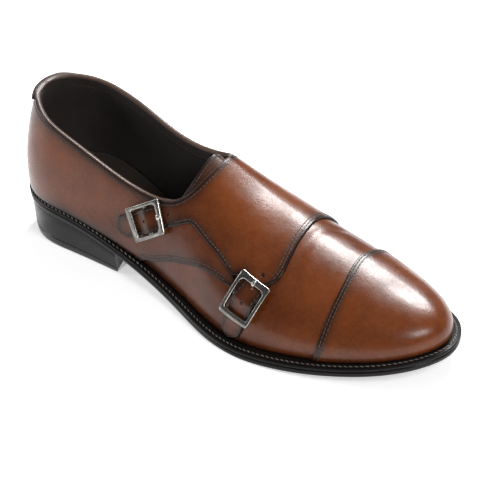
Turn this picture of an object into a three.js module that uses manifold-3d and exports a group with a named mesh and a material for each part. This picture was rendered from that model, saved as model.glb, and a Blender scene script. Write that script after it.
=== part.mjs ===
// A right-foot double monk strap shoe, in millimetres: +X to the toe, -Y to the outer side, +Z up.
// Lengths along the foot are measured from the back of the sole; the whole shoe is then shifted
// so that the origin lies at the middle of the heel's tread face.
import * as THREE from 'three';
import { mergeVertices } from 'three/addons/utils/BufferGeometryUtils.js';
import Module from 'manifold-3d';

const wasm = await Module();
wasm.setup();

// ---- Driving dimensions -------------------------------------------------------------------
const HEEL_REST_X = 38;        // origin, from the back of the sole
const GAP = 0.3;               // clearance between pieces that touch
const UPPER_WALL = 2.0;        // vamp leather and lining together
const OVERLAY = 1.3;           // quarter, flap and toe cap leather
const TONGUE_WALL = 2.0;
const TONGUE_GAP = 1.4;        // the tongue hangs loose under the vamp
const WELT_THICK = 2.0;
const SOLE_TOTAL = 6.0;        // feather line down to the tread, welt and outsole together
const WELT_INSIDE = 5;         // how far the welt runs in under the upper
const INSOLE_RISE = 2.5;       // insole face above the feather line
const EDGE_ROUND = 1.2;        // rounded lower corner of the outsole
const HEEL_BREAST_X = 80;
const HEEL_TAPER = 1.6;
const BREAST_RADIUS = 70;      // the heel's front face is slightly hollow
const THROAT_U = 0.51;         // front end of the collar opening, as a share of the side's length
const COLLAR_END_POWER = 10;   // how sharply the collar closes at the throat

const BUCKLE = { length: 25, width: 21, endBar: 3.4, sideBar: 2.2, thick: 1.8, low: 4.0, corner: 2.2 };
const CENTRE_BAR = { width: 2.2, low: 2.0, thick: 1.6, lug: 2.2 };
const STRAP = { half: 7.2, lift: 2.4, liftReach: 4.5, prongFoot: -7.6 };
const PRONG = { half: 0.8, thick: 1.2, reach: 11.6 };

const COLOURS = { leather: 0x6b3a20, edge: 0x17120f, lining: 0x2a211d, steel: 0x8d8a84 };

// ---- Tables: one row for each station ------------------------------------------------------
// The tread outline seen from above: outer side from the heel to the toe, then the inner side back.
const OUTLINE = {
  columns: ['x', 'y'],
  toe: 15,
  rows: [
    [0, 0], [4.5, -20], [22, -33], [46, -35], [72, -35], [97, -36], [120, -39.5], [142, -45.5],
    [165, -53], [188, -57.5], [212, -56.5], [235, -51.5], [257, -43.5], [278, -32.5], [295, -16],
    [302, 4], [294, 24], [276, 37.5], [253, 45], [230, 48.5], [206, 49.5], [183, 47.5],
    [160, 42], [138, 34], [116, 28.5], [94, 27.5], [70, 30], [46, 33.5], [22, 32.5], [4.5, 20],
  ],
};

// The last, section by section. x: place along the tread outline; ledge: width of welt showing;
// feather: height of the line where upper meets welt; ridge: the top line that the section climbs
// to; then, for the outer and the inner side, how far the wall swells, how high the swell sits,
// and how broad the shoulder is under the ridge.
const LAST = table(
  ['x', 'ledge', 'feather', 'ridgeX', 'ridgeY', 'ridgeZ',
    'swellOut', 'riseOut', 'shoulderOut', 'swellIn', 'riseIn', 'shoulderIn'],
  [
    [0, 2.5, 31, 20, 0, 116, 5, 38, 0.55, 5, 38, 0.55],
    [28, 2.5, 30.3, 38, 0, 118, 6, 38, 0.52, 6, 38, 0.52],
    [60, 3.0, 26.6, 60, 0, 119, 7, 38, 0.46, 6, 40, 0.46],
    [93, 4.5, 18.6, 89, 2, 108, 8, 36, 0.40, 7, 40, 0.42],
    [133, 6.0, 9.8, 123, 4, 91.5, 7, 31, 0.42, 6, 38, 0.46],
    [179, 7.0, 5.8, 162, 6, 71.5, 5.5, 26, 0.50, 5, 32, 0.54],
    [222, 7.3, 7.6, 201, 7.5, 57, 4.5, 22, 0.54, 4.5, 26, 0.58],
    [263, 7.3, 12, 237, 8, 47.5, 4, 18, 0.58, 3.5, 20, 0.60],
    [288, 7.0, 16, 261, 8, 41, 3.5, 16, 0.61, 3, 16, 0.61],
    [302, 6.5, 18.2, 270, 8, 38.5, 3.5, 15, 0.62, 3, 15, 0.62],
  ],
);
const END_FAN = 6;              // wall lines meet the ridge squarely, fanning out at heel and toe
const RIDGE_HEIGHT = natural(LAST.values('ridgeX'), LAST.values('ridgeZ'));

// How much of each side stays open above the collar, from the back seam (u = 0) to the throat.
const COLLAR = table(['u', 'outer', 'inner'], [
  [0, 0.45, 0.45], [0.06, 0.47, 0.46], [0.12, 0.52, 0.49], [0.2, 0.58, 0.53],
  [0.3, 0.61, 0.53], [0.4, 0.575, 0.48], [0.51, 0.49, 0.38],
]);

// Pattern lines on the last, as [u, q] pairs: u runs from the back seam to the toe, q from
// -1 at the outer feather line over the ridge at 0 to +1 at the inner feather line.
const BACK_SEAM = 0.004;
const FEATHER_Q = 0.992;
const QUARTER_FOOT_U = 0.352;
const PATTERN = {
  quarterLower: [[0.368, -0.945], [0.39, -0.9], [0.428, -0.817], [0.467, -0.749], [0.501, -0.696],
    [0.54, -0.655], [0.575, -0.64], [0.603, -0.634]],
  quarterUnderFlap: [[0.61, -0.6], [0.59, -0.52], [0.545, -0.45], [0.5, -0.42], [0.463, -0.41]],
  innerLower: [[0.36, 0.95], [0.39, 0.885], [0.44, 0.825], [0.5, 0.79], [0.56, 0.78], [0.61, 0.768]],
  innerCorner: [[0.634, 0.752], [0.648, 0.70]],
  flapFront: [[0.66, 0.6], [0.676, 0.42], [0.689, 0.25], [0.699, 0.08], [0.705, -0.08], [0.704, -0.25],
    [0.697, -0.4], [0.683, -0.49]],
  betweenStraps: [[0.603, -0.564], [0.586, -0.545], [0.568, -0.525], [0.543, -0.512], [0.519, -0.502],
    [0.504, -0.497], [0.491, -0.5], [0.477, -0.525], [0.457, -0.572], [0.44, -0.61]],
};

// Each buckle sits on its strap. u, q: its middle; turn: the strap's run, in degrees from
// straight down the side; root and tip: where the strap begins and ends, in mm from the middle.
const FASTENINGS = {
  front: { u: 0.634, q: -0.657, turn: -31, root: -11, tip: 29 },
  rear: { u: 0.385, q: -0.68, turn: -65, root: -11, tip: 26 },
};

// The toe cap's seam across the foot.
const CAP_SEAM = table(['q', 'u'], [
  [-1, 0.752], [-0.63, 0.784], [-0.3, 0.813], [0, 0.817], [0.3, 0.802], [0.63, 0.766], [1, 0.733],
]);
const TONGUE = { backU: 0.482, droop: 0.19, frontU: 0.66, outerQ: -0.46, innerQ: 0.4 };
const HEEL_TAB = { halfU: 0.062, depthQ: 0.085, scallopQ: 0.055 };

// ---- Curves through tables -----------------------------------------------------------------
// Natural cubic spline through the points (xs, ys), continued in a straight line past its ends.
function natural(xs, ys) {
  const last = xs.length - 1;
  const bend = new Array(xs.length).fill(0);
  const carry = new Array(xs.length).fill(0);
  for (let i = 1; i < last; i += 1) {
    const before = xs[i] - xs[i - 1];
    const after = xs[i + 1] - xs[i];
    const pull = 6 * ((ys[i + 1] - ys[i]) / after - (ys[i] - ys[i - 1]) / before);
    const pivot = 2 * (before + after) - before * carry[i - 1];
    carry[i] = after / pivot;
    bend[i] = (pull - before * bend[i - 1]) / pivot;
  }
  for (let i = last - 1; i > 0; i -= 1) bend[i] -= carry[i] * bend[i + 1];
  return (x) => {
    let i = 0;
    while (i < last - 1 && x > xs[i + 1]) i += 1;
    const h = xs[i + 1] - xs[i];
    const a = xs[i + 1] - x;
    const b = x - xs[i];
    return (bend[i] * a ** 3 + bend[i + 1] * b ** 3) / (6 * h)
      + (ys[i] / h - (bend[i] * h) / 6) * a + (ys[i + 1] / h - (bend[i + 1] * h) / 6) * b;
  };
}

// A table whose first column is the place; every other column is a smooth function of it.
function table(columns, rows) {
  const values = (name) => rows.map((row) => row[columns.indexOf(name)]);
  const curves = new Map();
  for (const name of columns.slice(1)) curves.set(name, natural(values(columns[0]), values(name)));
  return { values, at: (name, place) => curves.get(name)(place) };
}

// The tread outline as two sides, each running from the heel to the toe with u from 0 to 1.
function outlineSides() {
  const rows = OUTLINE.rows;
  const wrap = 6;
  const loop = [...rows.slice(-wrap), ...rows, ...rows.slice(0, wrap + 1)];
  const chord = [0];
  for (let i = 1; i < loop.length; i += 1) {
    chord.push(chord[i - 1] + Math.hypot(loop[i][0] - loop[i - 1][0], loop[i][1] - loop[i - 1][1]));
  }
  const x = natural(chord, loop.map((p) => p[0]));
  const y = natural(chord, loop.map((p) => p[1]));
  const toe = chord[wrap + OUTLINE.toe];
  return [[chord[wrap], toe], [chord[wrap + rows.length], toe]].map(([from, to]) => {
    const steps = 1500;
    const points = [];
    for (let i = 0; i <= steps; i += 1) {
      const s = from + ((to - from) * i) / steps;
      points.push(new THREE.Vector2(x(s), y(s)));
    }
    const walked = [0];
    for (let i = 1; i <= steps; i += 1) walked.push(walked[i - 1] + points[i].distanceTo(points[i - 1]));
    const outward = Math.sign(to - from);
    return (u) => {
      const goal = u * walked[steps];
      let low = 0;
      let high = steps;
      while (high - low > 1) {
        const middle = (low + high) >> 1;
        if (walked[middle] <= goal) low = middle;
        else high = middle;
      }
      const part = (goal - walked[low]) / (walked[high] - walked[low]);
      const point = points[low].clone().lerp(points[high], part);
      const ahead = points[Math.min(high + 1, steps)].clone().sub(points[Math.max(low - 1, 0)]);
      const normal = new THREE.Vector2(ahead.y, -ahead.x).normalize().multiplyScalar(outward);
      return { point, normal };
    };
  });
}
const [OUTER, INNER] = outlineSides();

// ---- The last's surface --------------------------------------------------------------------
// One wall line, from the feather line up to the ridge, is a cubic Bezier curve.
function lastPoint(u, q) {
  const outerSide = q < 0;
  const { point, normal } = (outerSide ? OUTER : INNER)(u);
  const middleX = (OUTER(u).point.x + INNER(u).point.x) / 2;
  const side = outerSide ? 'Out' : 'In';
  const x = point.x;
  const ledge = LAST.at('ledge', x);
  const foot = new THREE.Vector3(x - normal.x * ledge, point.y - normal.y * ledge, LAST.at('feather', x));
  const ridgeX = LAST.at('ridgeX', middleX);
  const ridge = new THREE.Vector3(ridgeX, LAST.at('ridgeY', middleX), RIDGE_HEIGHT(ridgeX));
  const slope = (RIDGE_HEIGHT(ridgeX + 1) - RIDGE_HEIGHT(ridgeX - 1)) / 2;
  const swell = LAST.at('swell' + side, x);
  const outward = new THREE.Vector3(normal.x * swell, normal.y * swell, LAST.at('rise' + side, x));
  const belly = foot.clone().add(outward);
  const reach = LAST.at('shoulder' + side, x);
  const fan = (1 - (4 * u * (1 - u)) ** 2) ** END_FAN;
  const dx = (foot.x - ridge.x) * reach * fan;
  const dy = (foot.y - ridge.y) * reach;
  const shoulder = new THREE.Vector3(ridge.x + dx, ridge.y + dy, ridge.z + slope * dx);
  return new THREE.CubicBezierCurve3(foot, belly, shoulder, ridge).getPoint(1 - Math.abs(q));
}

// Beyond the back seam and the toe the surface carries on around the other side.
function folded(u, q) {
  if (u < 0) return [-u, -q];
  if (u > 1) return [2 - u, -q];
  return [u, q];
}

function lastNormal(u, q) {
  const step = 1e-3;
  const [foldU, foldQ] = folded(u, q);
  const midU = THREE.MathUtils.clamp(foldU, 2 * step, 1 - 2 * step);
  const across = lastPoint(midU, Math.min(foldQ + step, 1)).sub(lastPoint(midU, Math.max(foldQ - step, -1)));
  const along = lastPoint(midU + step, foldQ).sub(lastPoint(midU - step, foldQ));
  return along.cross(across).normalize();
}

function skin(u, q, offset) {
  return lastPoint(...folded(u, q)).addScaledVector(lastNormal(u, q), offset);
}

function collar(u, q) {
  const side = q < 0 ? 'outer' : 'inner';
  const closing = Math.sqrt(Math.max(0, 1 - (Math.abs(u) / THROAT_U) ** COLLAR_END_POWER));
  return COLLAR.at(side, Math.abs(u)) * closing;
}

// Where the collar line has closed to this share of its table width.
function closedTo(share) {
  return THROAT_U * (1 - share ** 2) ** (1 / COLLAR_END_POWER);
}

// ---- Solids from sheets --------------------------------------------------------------------
// A sheet is a list of [u, q] places and triangles between them. Its leather is the space
// between two heights above the last, with walls along every open edge.
function thicken(sheet, low, high) {
  const welded = new Map();
  const places = [];
  const index = sheet.places.map(([u, q]) => {
    const base = lastPoint(...folded(u, q));
    const key = base.toArray().map((value) => Math.round(value * 500)).join();
    if (!welded.has(key)) {
      welded.set(key, places.length);
      places.push({ base, normal: new THREE.Vector3(), low: low(u, q), high: high(u, q) });
    }
    const place = places[welded.get(key)];
    place.normal.add(lastNormal(u, q));
    return welded.get(key);
  });
  const count = places.length;
  const positions = [];
  for (const level of ['low', 'high']) {
    for (const place of places) {
      const rise = place.normal.clone().setLength(place[level]);
      positions.push(...place.base.clone().add(rise).toArray());
    }
  }
  const triangles = [];
  const edges = new Map();
  for (const corners of sheet.triangles) {
    const [a, b, c] = corners.map((corner) => index[corner]);
    if (a === b || b === c || c === a) continue;
    triangles.push(a, c, b, a + count, b + count, c + count);
    for (const [from, to] of [[a, b], [b, c], [c, a]]) {
      if (!edges.delete(`${to},${from}`)) edges.set(`${from},${to}`, [from, to]);
    }
  }
  for (const [from, to] of edges.values()) {
    triangles.push(from, to, to + count, from, to + count, from + count);
  }
  return outwardGeometry(positions, triangles);
}

function outwardGeometry(positions, triangles) {
  const corner = (i) => new THREE.Vector3().fromArray(positions, 3 * triangles[i]);
  let volume = 0;
  for (let i = 0; i < triangles.length; i += 3) volume += corner(i).dot(corner(i + 1).cross(corner(i + 2)));
  const facing = volume > 0 ? triangles : triangles.slice().reverse();
  const geometry = new THREE.BufferGeometry();
  geometry.setAttribute('position', new THREE.Float32BufferAttribute(positions, 3));
  geometry.setIndex(facing);
  return geometry;
}

// A regular sheet: place(i, j) gives [u, q] for row i and column j.
function gridSheet(rows, columns, place) {
  const places = [];
  const triangles = [];
  for (let i = 0; i <= rows; i += 1) {
    for (let j = 0; j <= columns; j += 1) {
      places.push(place(i, j));
      if (i === rows || j === columns) continue;
      const a = i * (columns + 1) + j;
      const b = a + columns + 1;
      triangles.push([a, b, b + 1], [a, b + 1, a + 1]);
    }
  }
  return { places, triangles };
}

function joinSheets(...sheets) {
  const places = [];
  const triangles = [];
  for (const sheet of sheets) {
    const start = places.length;
    places.push(...sheet.places);
    triangles.push(...sheet.triangles.map((corners) => corners.map((corner) => corner + start)));
  }
  return { places, triangles };
}

// A sheet cut to an outline, in cells of about CELL mm. The cutting is done on a board that is
// slightly dished, so that its cells stay apart; edges longer than limit(u, q) mm are then halved.
const FLAT = { u: 340, q: 95 };
const CELL = 7.0;
const DISH = 0.002;
function cutSheet(outline, limit = null) {
  const flat = ([u, q]) => new THREE.Vector2(u * FLAT.u, q * FLAT.q);
  const pattern = outline.map(flat);
  const frame = new THREE.Box2().setFromPoints(pattern).expandByScalar(2);
  const size = frame.getSize(new THREE.Vector2());
  const middle = frame.getCenter(new THREE.Vector2());
  const dish = (x, y) => DISH * ((x - middle.x) ** 2 + (y - middle.y) ** 2);
  const board = new THREE.BoxGeometry(size.x, size.y, 2, Math.ceil(size.x / CELL), Math.ceil(size.y / CELL));
  board.translate(middle.x, middle.y, 0);
  const corners = board.attributes.position;
  for (let i = 0; i < corners.count; i += 1) {
    corners.setZ(i, corners.getZ(i) + dish(corners.getX(i), corners.getY(i)));
  }
  const cutter = new THREE.ExtrudeGeometry(new THREE.Shape(pattern), { depth: 400, bevelEnabled: false });
  cutter.translate(0, 0, -200);
  const cut = fromManifold(toManifold(board).intersect(toManifold(cutter)));
  const place = cut.attributes.position;
  const upperFace = (i) => place.getZ(i) > dish(place.getX(i), place.getY(i));
  const triangles = [];
  for (let i = 0; i < cut.index.count; i += 3) {
    const three = [0, 1, 2].map((k) => cut.index.getX(i + k));
    if (three.every(upperFace)) triangles.push(three);
  }
  const placeOf = (_, i) => [place.getX(i) / FLAT.u, place.getY(i) / FLAT.q];
  const places = Array.from({ length: place.count }, placeOf);
  return limit ? refined({ places, triangles }, flat, limit) : { places, triangles };
}

function refined({ places, triangles }, flat, limit) {
  const tooLong = (a, b) => {
    const length = flat(places[a]).distanceTo(flat(places[b]));
    return length / limit((places[a][0] + places[b][0]) / 2, (places[a][1] + places[b][1]) / 2);
  };
  for (;;) {
    const byEdge = new Map();
    triangles.forEach((corners, t) => {
      for (let k = 0; k < 3; k += 1) {
        const key = [corners[k], corners[(k + 1) % 3]].sort((a, b) => a - b).join();
        byEdge.set(key, [...(byEdge.get(key) ?? []), t]);
      }
    });
    const rated = [...byEdge.keys()].map((key) => [tooLong(...key.split(',').map(Number)), key]);
    const cuts = rated.filter(([ratio]) => ratio > 1).sort((a, b) => b[0] - a[0]);
    if (cuts.length === 0) return { places, triangles };
    const changed = new Set();
    for (const [, key] of cuts) {
      const sides = byEdge.get(key);
      if (sides.some((t) => changed.has(t))) continue;
      const [a, b] = key.split(',').map(Number);
      const middle = places.length;
      places.push([(places[a][0] + places[b][0]) / 2, (places[a][1] + places[b][1]) / 2]);
      for (const t of sides) {
        changed.add(t);
        const swap = (out) => triangles[t].map((corner) => (corner === out ? middle : corner));
        const halves = [swap(a), swap(b)];
        triangles[t] = halves[0];
        triangles.push(halves[1]);
      }
    }
  }
}

function curve(points, steps) {
  const spline = new THREE.SplineCurve(points.map(([u, q]) => new THREE.Vector2(u * FLAT.u, q * FLAT.q)));
  return spline.getPoints(steps).map((point) => [point.x / FLAT.u, point.y / FLAT.q]);
}

// ---- Upper and its overlays ----------------------------------------------------------------
function upper() {
  const evenRows = 20;
  const openRows = evenRows + 6;
  const closedRows = 15;
  const columns = 9;
  const rowU = (i) => {
    if (i <= evenRows) return closedTo(0.8) * (i / evenRows);
    if (i <= openRows) return closedTo((0.8 * (openRows - i)) / (openRows - evenRows));
    return THROAT_U + (1 - THROAT_U) * ((i - openRows) / closedRows);
  };
  const half = (side) => gridSheet(openRows + closedRows, columns, (i, j) => {
    const u = rowU(i);
    return [u, side * (1 - (1 - collar(u, side)) * (j / columns))];
  });
  return thicken(joinSheets(half(-1), flipped(half(1))), () => -UPPER_WALL, () => 0);
}

function flipped(sheet) {
  return { places: sheet.places, triangles: sheet.triangles.map(([a, b, c]) => [a, c, b]) };
}

function toeCap() {
  const rows = 9;
  const columns = 20;
  const sheet = gridSheet(rows, columns, (i, j) => {
    const q = FEATHER_Q * (-1 + (2 * j) / columns);
    const back = CAP_SEAM.at('u', q);
    return [back + ((1 - back) * i) / rows, q];
  });
  return thicken(sheet, () => GAP, () => GAP + OVERLAY);
}

function collarEdge(side, fromU, steps) {
  const far = Math.sqrt(1 - fromU / THROAT_U);
  const edge = [];
  for (let i = 0; i <= steps; i += 1) {
    const u = THROAT_U * (1 - (far * (1 - i / steps)) ** 2);
    edge.push([u, side * collar(u, side)]);
  }
  return edge;
}

function quarter() {
  const meetU = PATTERN.quarterUnderFlap.at(-1)[0];
  const topEdge = collarEdge(-1, BACK_SEAM, 22).filter(([u]) => u < meetU);
  const lower = curve([[QUARTER_FOOT_U, -FEATHER_Q], ...PATTERN.quarterLower], 16);
  const under = curve(PATTERN.quarterUnderFlap, 10);
  const outline = [[BACK_SEAM, -FEATHER_Q], ...lower, ...under, ...topEdge.reverse()];
  return thicken(cutSheet(outline), () => GAP, () => GAP + OVERLAY);
}

// The steps in [u, q] for 1 mm along a strap, towards its tip, and for 1 mm across it.
function strapSteps({ u, q, turn }) {
  const step = 1e-3;
  const perU = lastPoint(u + step, q).sub(lastPoint(u - step, q)).divideScalar(2 * step);
  const perQ = lastPoint(u, q + step).sub(lastPoint(u, q - step)).divideScalar(2 * step);
  const normal = lastNormal(u, q);
  const run = perQ.clone().negate().normalize().applyAxisAngle(normal, THREE.MathUtils.degToRad(turn));
  const across = normal.clone().cross(run);
  const [uu, uq, qq] = [perU.dot(perU), perU.dot(perQ), perQ.dot(perQ)];
  return [run, across].map((way) => {
    const [inU, inQ] = [perU.dot(way), perQ.dot(way)];
    const spread = uu * qq - uq * uq;
    return [(qq * inU - uq * inQ) / spread, (uu * inQ - uq * inU) / spread];
  });
}
for (const fastening of Object.values(FASTENINGS)) fastening.steps = strapSteps(fastening);

// Places beside a buckle: s mm along the strap towards its tip, b mm across it.
function besideBuckle({ u, q, steps: [run, across] }, s, b) {
  return [u + s * run[0] + b * across[0], q + s * run[1] + b * across[1]];
}

function buckleCoordinates({ u, q, steps: [run, across] }, atU, atQ) {
  const [du, dq] = [atU - u, atQ - q];
  const spread = run[0] * across[1] - run[1] * across[0];
  return { s: (du * across[1] - dq * across[0]) / spread, b: (run[0] * dq - run[1] * du) / spread };
}

function strapOutline(fastening) {
  const { half } = STRAP;
  const { root, tip } = fastening;
  const point = 4.5;
  const side = [[root, half], [tip - point, half], [tip, 1.5]];
  const corners = [...side, ...side.map(([s, b]) => [s, -b]).reverse()];
  return corners.map(([s, b]) => besideBuckle(fastening, s, b));
}

// The flap lies on the vamp on the inner side and on the outer quarter past the ridge, and its
// straps rise over the buckles' centre bars.
function flapHeight(u, q) {
  const onQuarter = THREE.MathUtils.smoothstep(-q, 0, 0.3);
  let height = GAP + onQuarter * (OVERLAY + GAP);
  for (const fastening of Object.values(FASTENINGS)) {
    const { s, b } = buckleCoordinates(fastening, u, q);
    const near = Math.abs(b) < BUCKLE.width && Math.abs(s) < BUCKLE.length;
    if (near) height += STRAP.lift * Math.exp(-((s / STRAP.liftReach) ** 2));
  }
  return height;
}

function monkFlap() {
  const { front, rear } = FASTENINGS;
  const frontStrap = strapOutline(front);
  const rearStrap = strapOutline(rear);
  const collarStart = 0.408;
  const foot = [QUARTER_FOOT_U, FEATHER_Q];
  const outline = [
    ...collarEdge(-1, collarStart, 9),
    ...collarEdge(1, BACK_SEAM, 22).reverse().slice(1),
    [BACK_SEAM, FEATHER_Q],
    ...curve([foot, ...PATTERN.innerLower, ...PATTERN.innerCorner, ...PATTERN.flapFront], 40),
    ...frontStrap,
    ...curve(PATTERN.betweenStraps, 12),
    ...rearStrap,
  ];
  const limit = (u, q) => {
    const beside = Object.values(FASTENINGS).map((at) => buckleCoordinates(at, u, q));
    const underBuckle = beside.some(
      ({ s, b }) => Math.abs(s) < BUCKLE.length / 2 && Math.abs(b) < STRAP.half + 1,
    );
    return underBuckle ? 4.4 : 2 * CELL;
  };
  return thicken(cutSheet(outline, limit), flapHeight, (u, q) => flapHeight(u, q) + OVERLAY);
}

function heelTab() {
  const low = 2 * GAP + OVERLAY;
  const sheet = gridSheet(16, 2, (i, j) => {
    const u = HEEL_TAB.halfU * (-1 + i / 8);
    const scallop = HEEL_TAB.scallopQ * Math.cos((Math.PI * u) / HEEL_TAB.halfU);
    const top = collar(u, -1);
    return [u, -(top + (HEEL_TAB.depthQ + scallop) * (j / 2))];
  });
  return thicken(sheet, () => low, () => low + OVERLAY);
}

function tongue() {
  const { backU, droop, frontU, outerQ, innerQ } = TONGUE;
  const top = -UPPER_WALL - TONGUE_GAP;
  const sheet = gridSheet(7, 9, (i, j) => {
    const q = outerQ + ((innerQ - outerQ) * j) / 9;
    const back = backU - droop * q * q;
    return [back + ((frontU - back) * i) / 7, q];
  });
  return thicken(sheet, () => top - TONGUE_WALL, () => top);
}

// ---- Sole ----------------------------------------------------------------------------------
// A layer of the sole: rings around the tread outline, each set in from it by inset(x) and
// lying at height(x), where x is the place along the outline. It ends at endU and has flat faces.
function soleLayer(rings, endU = 1, steps = 30) {
  const whole = endU === 1;
  const stations = [];
  for (let i = 0; i <= steps; i += 1) stations.push([OUTER, endU * (i / steps)]);
  for (let i = steps - (whole ? 1 : 0); i > 0; i -= 1) stations.push([INNER, endU * (i / steps)]);
  const positions = [];
  for (const ring of rings) {
    for (const [side, u] of stations) {
      const { point, normal } = side(u);
      const inset = ring.inset(point.x);
      positions.push(point.x - normal.x * inset, point.y - normal.y * inset, ring.height(point.x));
    }
  }
  const count = stations.length;
  const triangles = [];
  for (let r = 0; r + 1 < rings.length; r += 1) {
    for (let i = 0; i < count; i += 1) {
      const a = r * count + i;
      const b = r * count + ((i + 1) % count);
      triangles.push(a, b, b + count, a, b + count, a + count);
    }
  }
  return { positions, triangles, count, steps };
}

function closedLayer(rings, endU, wantedSteps) {
  const { positions, triangles, count, steps } = soleLayer(rings, endU, wantedSteps);
  const top = (rings.length - 1) * count;
  for (let i = 0; i < steps; i += 1) {
    const [a, b, c, d] = [i, i + 1, count - i - 1, (count - i) % count];
    if (b !== c) triangles.push(a, c, b, top + a, top + b, top + c);
    if (a !== d) triangles.push(a, d, c, top + a, top + c, top + d);
  }
  return outwardGeometry(positions, triangles);
}

const feather = (x) => LAST.at('feather', x);
const ledge = (x) => LAST.at('ledge', x);
const below = (drop) => (x) => Math.max(0, feather(x) - drop);
const inward = (extra) => (x) => ledge(x) + extra;
const set = (value) => () => value;

function welt() {
  const top = GAP;
  const bottom = GAP + WELT_THICK;
  const { positions, triangles, count } = soleLayer([
    { inset: inward(WELT_INSIDE), height: below(bottom) },
    { inset: set(0.6), height: below(bottom) },
    { inset: set(0), height: below(bottom - 0.6) },
    { inset: set(0), height: below(top + 0.5) },
    { inset: set(0.5), height: below(top) },
    { inset: inward(WELT_INSIDE), height: below(top) },
  ]);
  const last = 5 * count;
  for (let i = 0; i < count; i += 1) {
    const next = (i + 1) % count;
    triangles.push(last + i, last + next, next, last + i, next, i);
  }
  return outwardGeometry(positions, triangles);
}

function outsole() {
  const top = 2 * GAP + WELT_THICK;
  return closedLayer([
    { inset: set(EDGE_ROUND), height: below(SOLE_TOTAL) },
    { inset: set(0), height: (x) => Math.max(EDGE_ROUND, feather(x) - SOLE_TOTAL + EDGE_ROUND) },
    { inset: set(0), height: (x) => feather(x) - top - 0.6 },
    { inset: set(0.6), height: (x) => feather(x) - top },
  ]);
}

function insole() {
  const plug = WELT_INSIDE + GAP;
  const wall = UPPER_WALL + 4 * GAP;
  return closedLayer([
    { inset: inward(plug), height: below(GAP + WELT_THICK) },
    { inset: inward(plug), height: below(0) },
    { inset: inward(wall), height: below(0) },
    { inset: inward(wall), height: (x) => feather(x) + INSOLE_RISE },
  ]);
}

function heel() {
  let endU = 0;
  while (OUTER(endU).point.x < HEEL_BREAST_X) endU += 0.002;
  const block = closedLayer([
    { inset: set(EDGE_ROUND + HEEL_TAPER), height: set(0) },
    { inset: set(EDGE_ROUND), height: (x) => feather(x) - SOLE_TOTAL - GAP },
  ], endU, 12);
  const hollow = new THREE.CylinderGeometry(BREAST_RADIUS, BREAST_RADIUS, 100, 48);
  hollow.rotateX(Math.PI / 2);
  hollow.translate(HEEL_BREAST_X + BREAST_RADIUS - 5, 0, 0);
  return fromManifold(toManifold(block).subtract(toManifold(hollow)));
}

// ---- Buckles -------------------------------------------------------------------------------
function toManifold(geometry) {
  const bare = geometry.clone();
  bare.deleteAttribute('normal');
  bare.deleteAttribute('uv');
  const merged = mergeVertices(bare, 1e-4);
  return new wasm.Manifold(new wasm.Mesh({
    numProp: 3,
    vertProperties: new Float32Array(merged.attributes.position.array),
    triVerts: new Uint32Array(merged.index.array),
  }));
}

function fromManifold(solid) {
  const mesh = solid.getMesh();
  const geometry = new THREE.BufferGeometry();
  geometry.setAttribute('position', new THREE.BufferAttribute(new Float32Array(mesh.vertProperties), 3));
  geometry.setIndex(new THREE.BufferAttribute(new Uint32Array(mesh.triVerts), 1));
  return geometry;
}

// An outline with points along its straight sides, so that it can follow the curved surface.
function roundedBox(length, width, corner, spacing) {
  const [x, y] = [length / 2, width / 2];
  const turns = [
    [x - corner, y - corner, 0],
    [corner - x, y - corner, 1],
    [corner - x, corner - y, 2],
    [x - corner, corner - y, 3],
  ];
  const points = turns.flatMap(([cx, cy, quarterTurn]) => [0, 0.5, 1].map((part) => {
    const turn = (Math.PI / 2) * (quarterTurn + part);
    return new THREE.Vector2(cx + corner * Math.cos(turn), cy + corner * Math.sin(turn));
  }));
  return points.flatMap((point, i) => {
    const next = points[(i + 1) % points.length];
    const steps = Math.max(1, Math.round(point.distanceTo(next) / spacing));
    return Array.from({ length: steps }, (_, k) => point.clone().lerp(next, k / steps));
  });
}

// Extrudes a flat shape whose x runs along the strap and y across it, and wraps it on the last.
function wrapped(fastening, shape, low, thick) {
  const geometry = new THREE.ExtrudeGeometry(shape, { depth: thick, bevelEnabled: false });
  const place = geometry.attributes.position;
  for (let i = 0; i < place.count; i += 1) {
    const [u, q] = besideBuckle(fastening, place.getX(i), place.getY(i));
    place.setXYZ(i, ...skin(u, q, low + place.getZ(i)).toArray());
  }
  return geometry;
}

function buckle(fastening) {
  const { length, width, endBar, sideBar, thick, low, corner } = BUCKLE;
  const frame = new THREE.Shape(roundedBox(length, width, corner, 4));
  const window = roundedBox(length - 2 * endBar, width - 2 * sideBar, corner, 4);
  frame.holes.push(new THREE.Path(window.reverse()));
  const inset = 0.15;
  const bar = new THREE.Shape(roundedBox(CENTRE_BAR.width, width - 2 * inset, 0.3, 4));
  let solid = toManifold(wrapped(fastening, frame, low, thick));
  solid = solid.add(toManifold(wrapped(fastening, bar, CENTRE_BAR.low, CENTRE_BAR.thick)));
  for (const side of [-1, 1]) {
    const lug = roundedBox(CENTRE_BAR.width - 2 * inset, CENTRE_BAR.lug, 0.3, 4);
    const middle = side * (width / 2 - CENTRE_BAR.lug / 2 - 2 * inset);
    const shape = new THREE.Shape(lug.map((point) => new THREE.Vector2(point.x, point.y + middle)));
    const base = CENTRE_BAR.low + inset;
    solid = solid.add(toManifold(wrapped(fastening, shape, base, low + thick / 2 - base)));
  }
  return fromManifold(solid);
}

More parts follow.
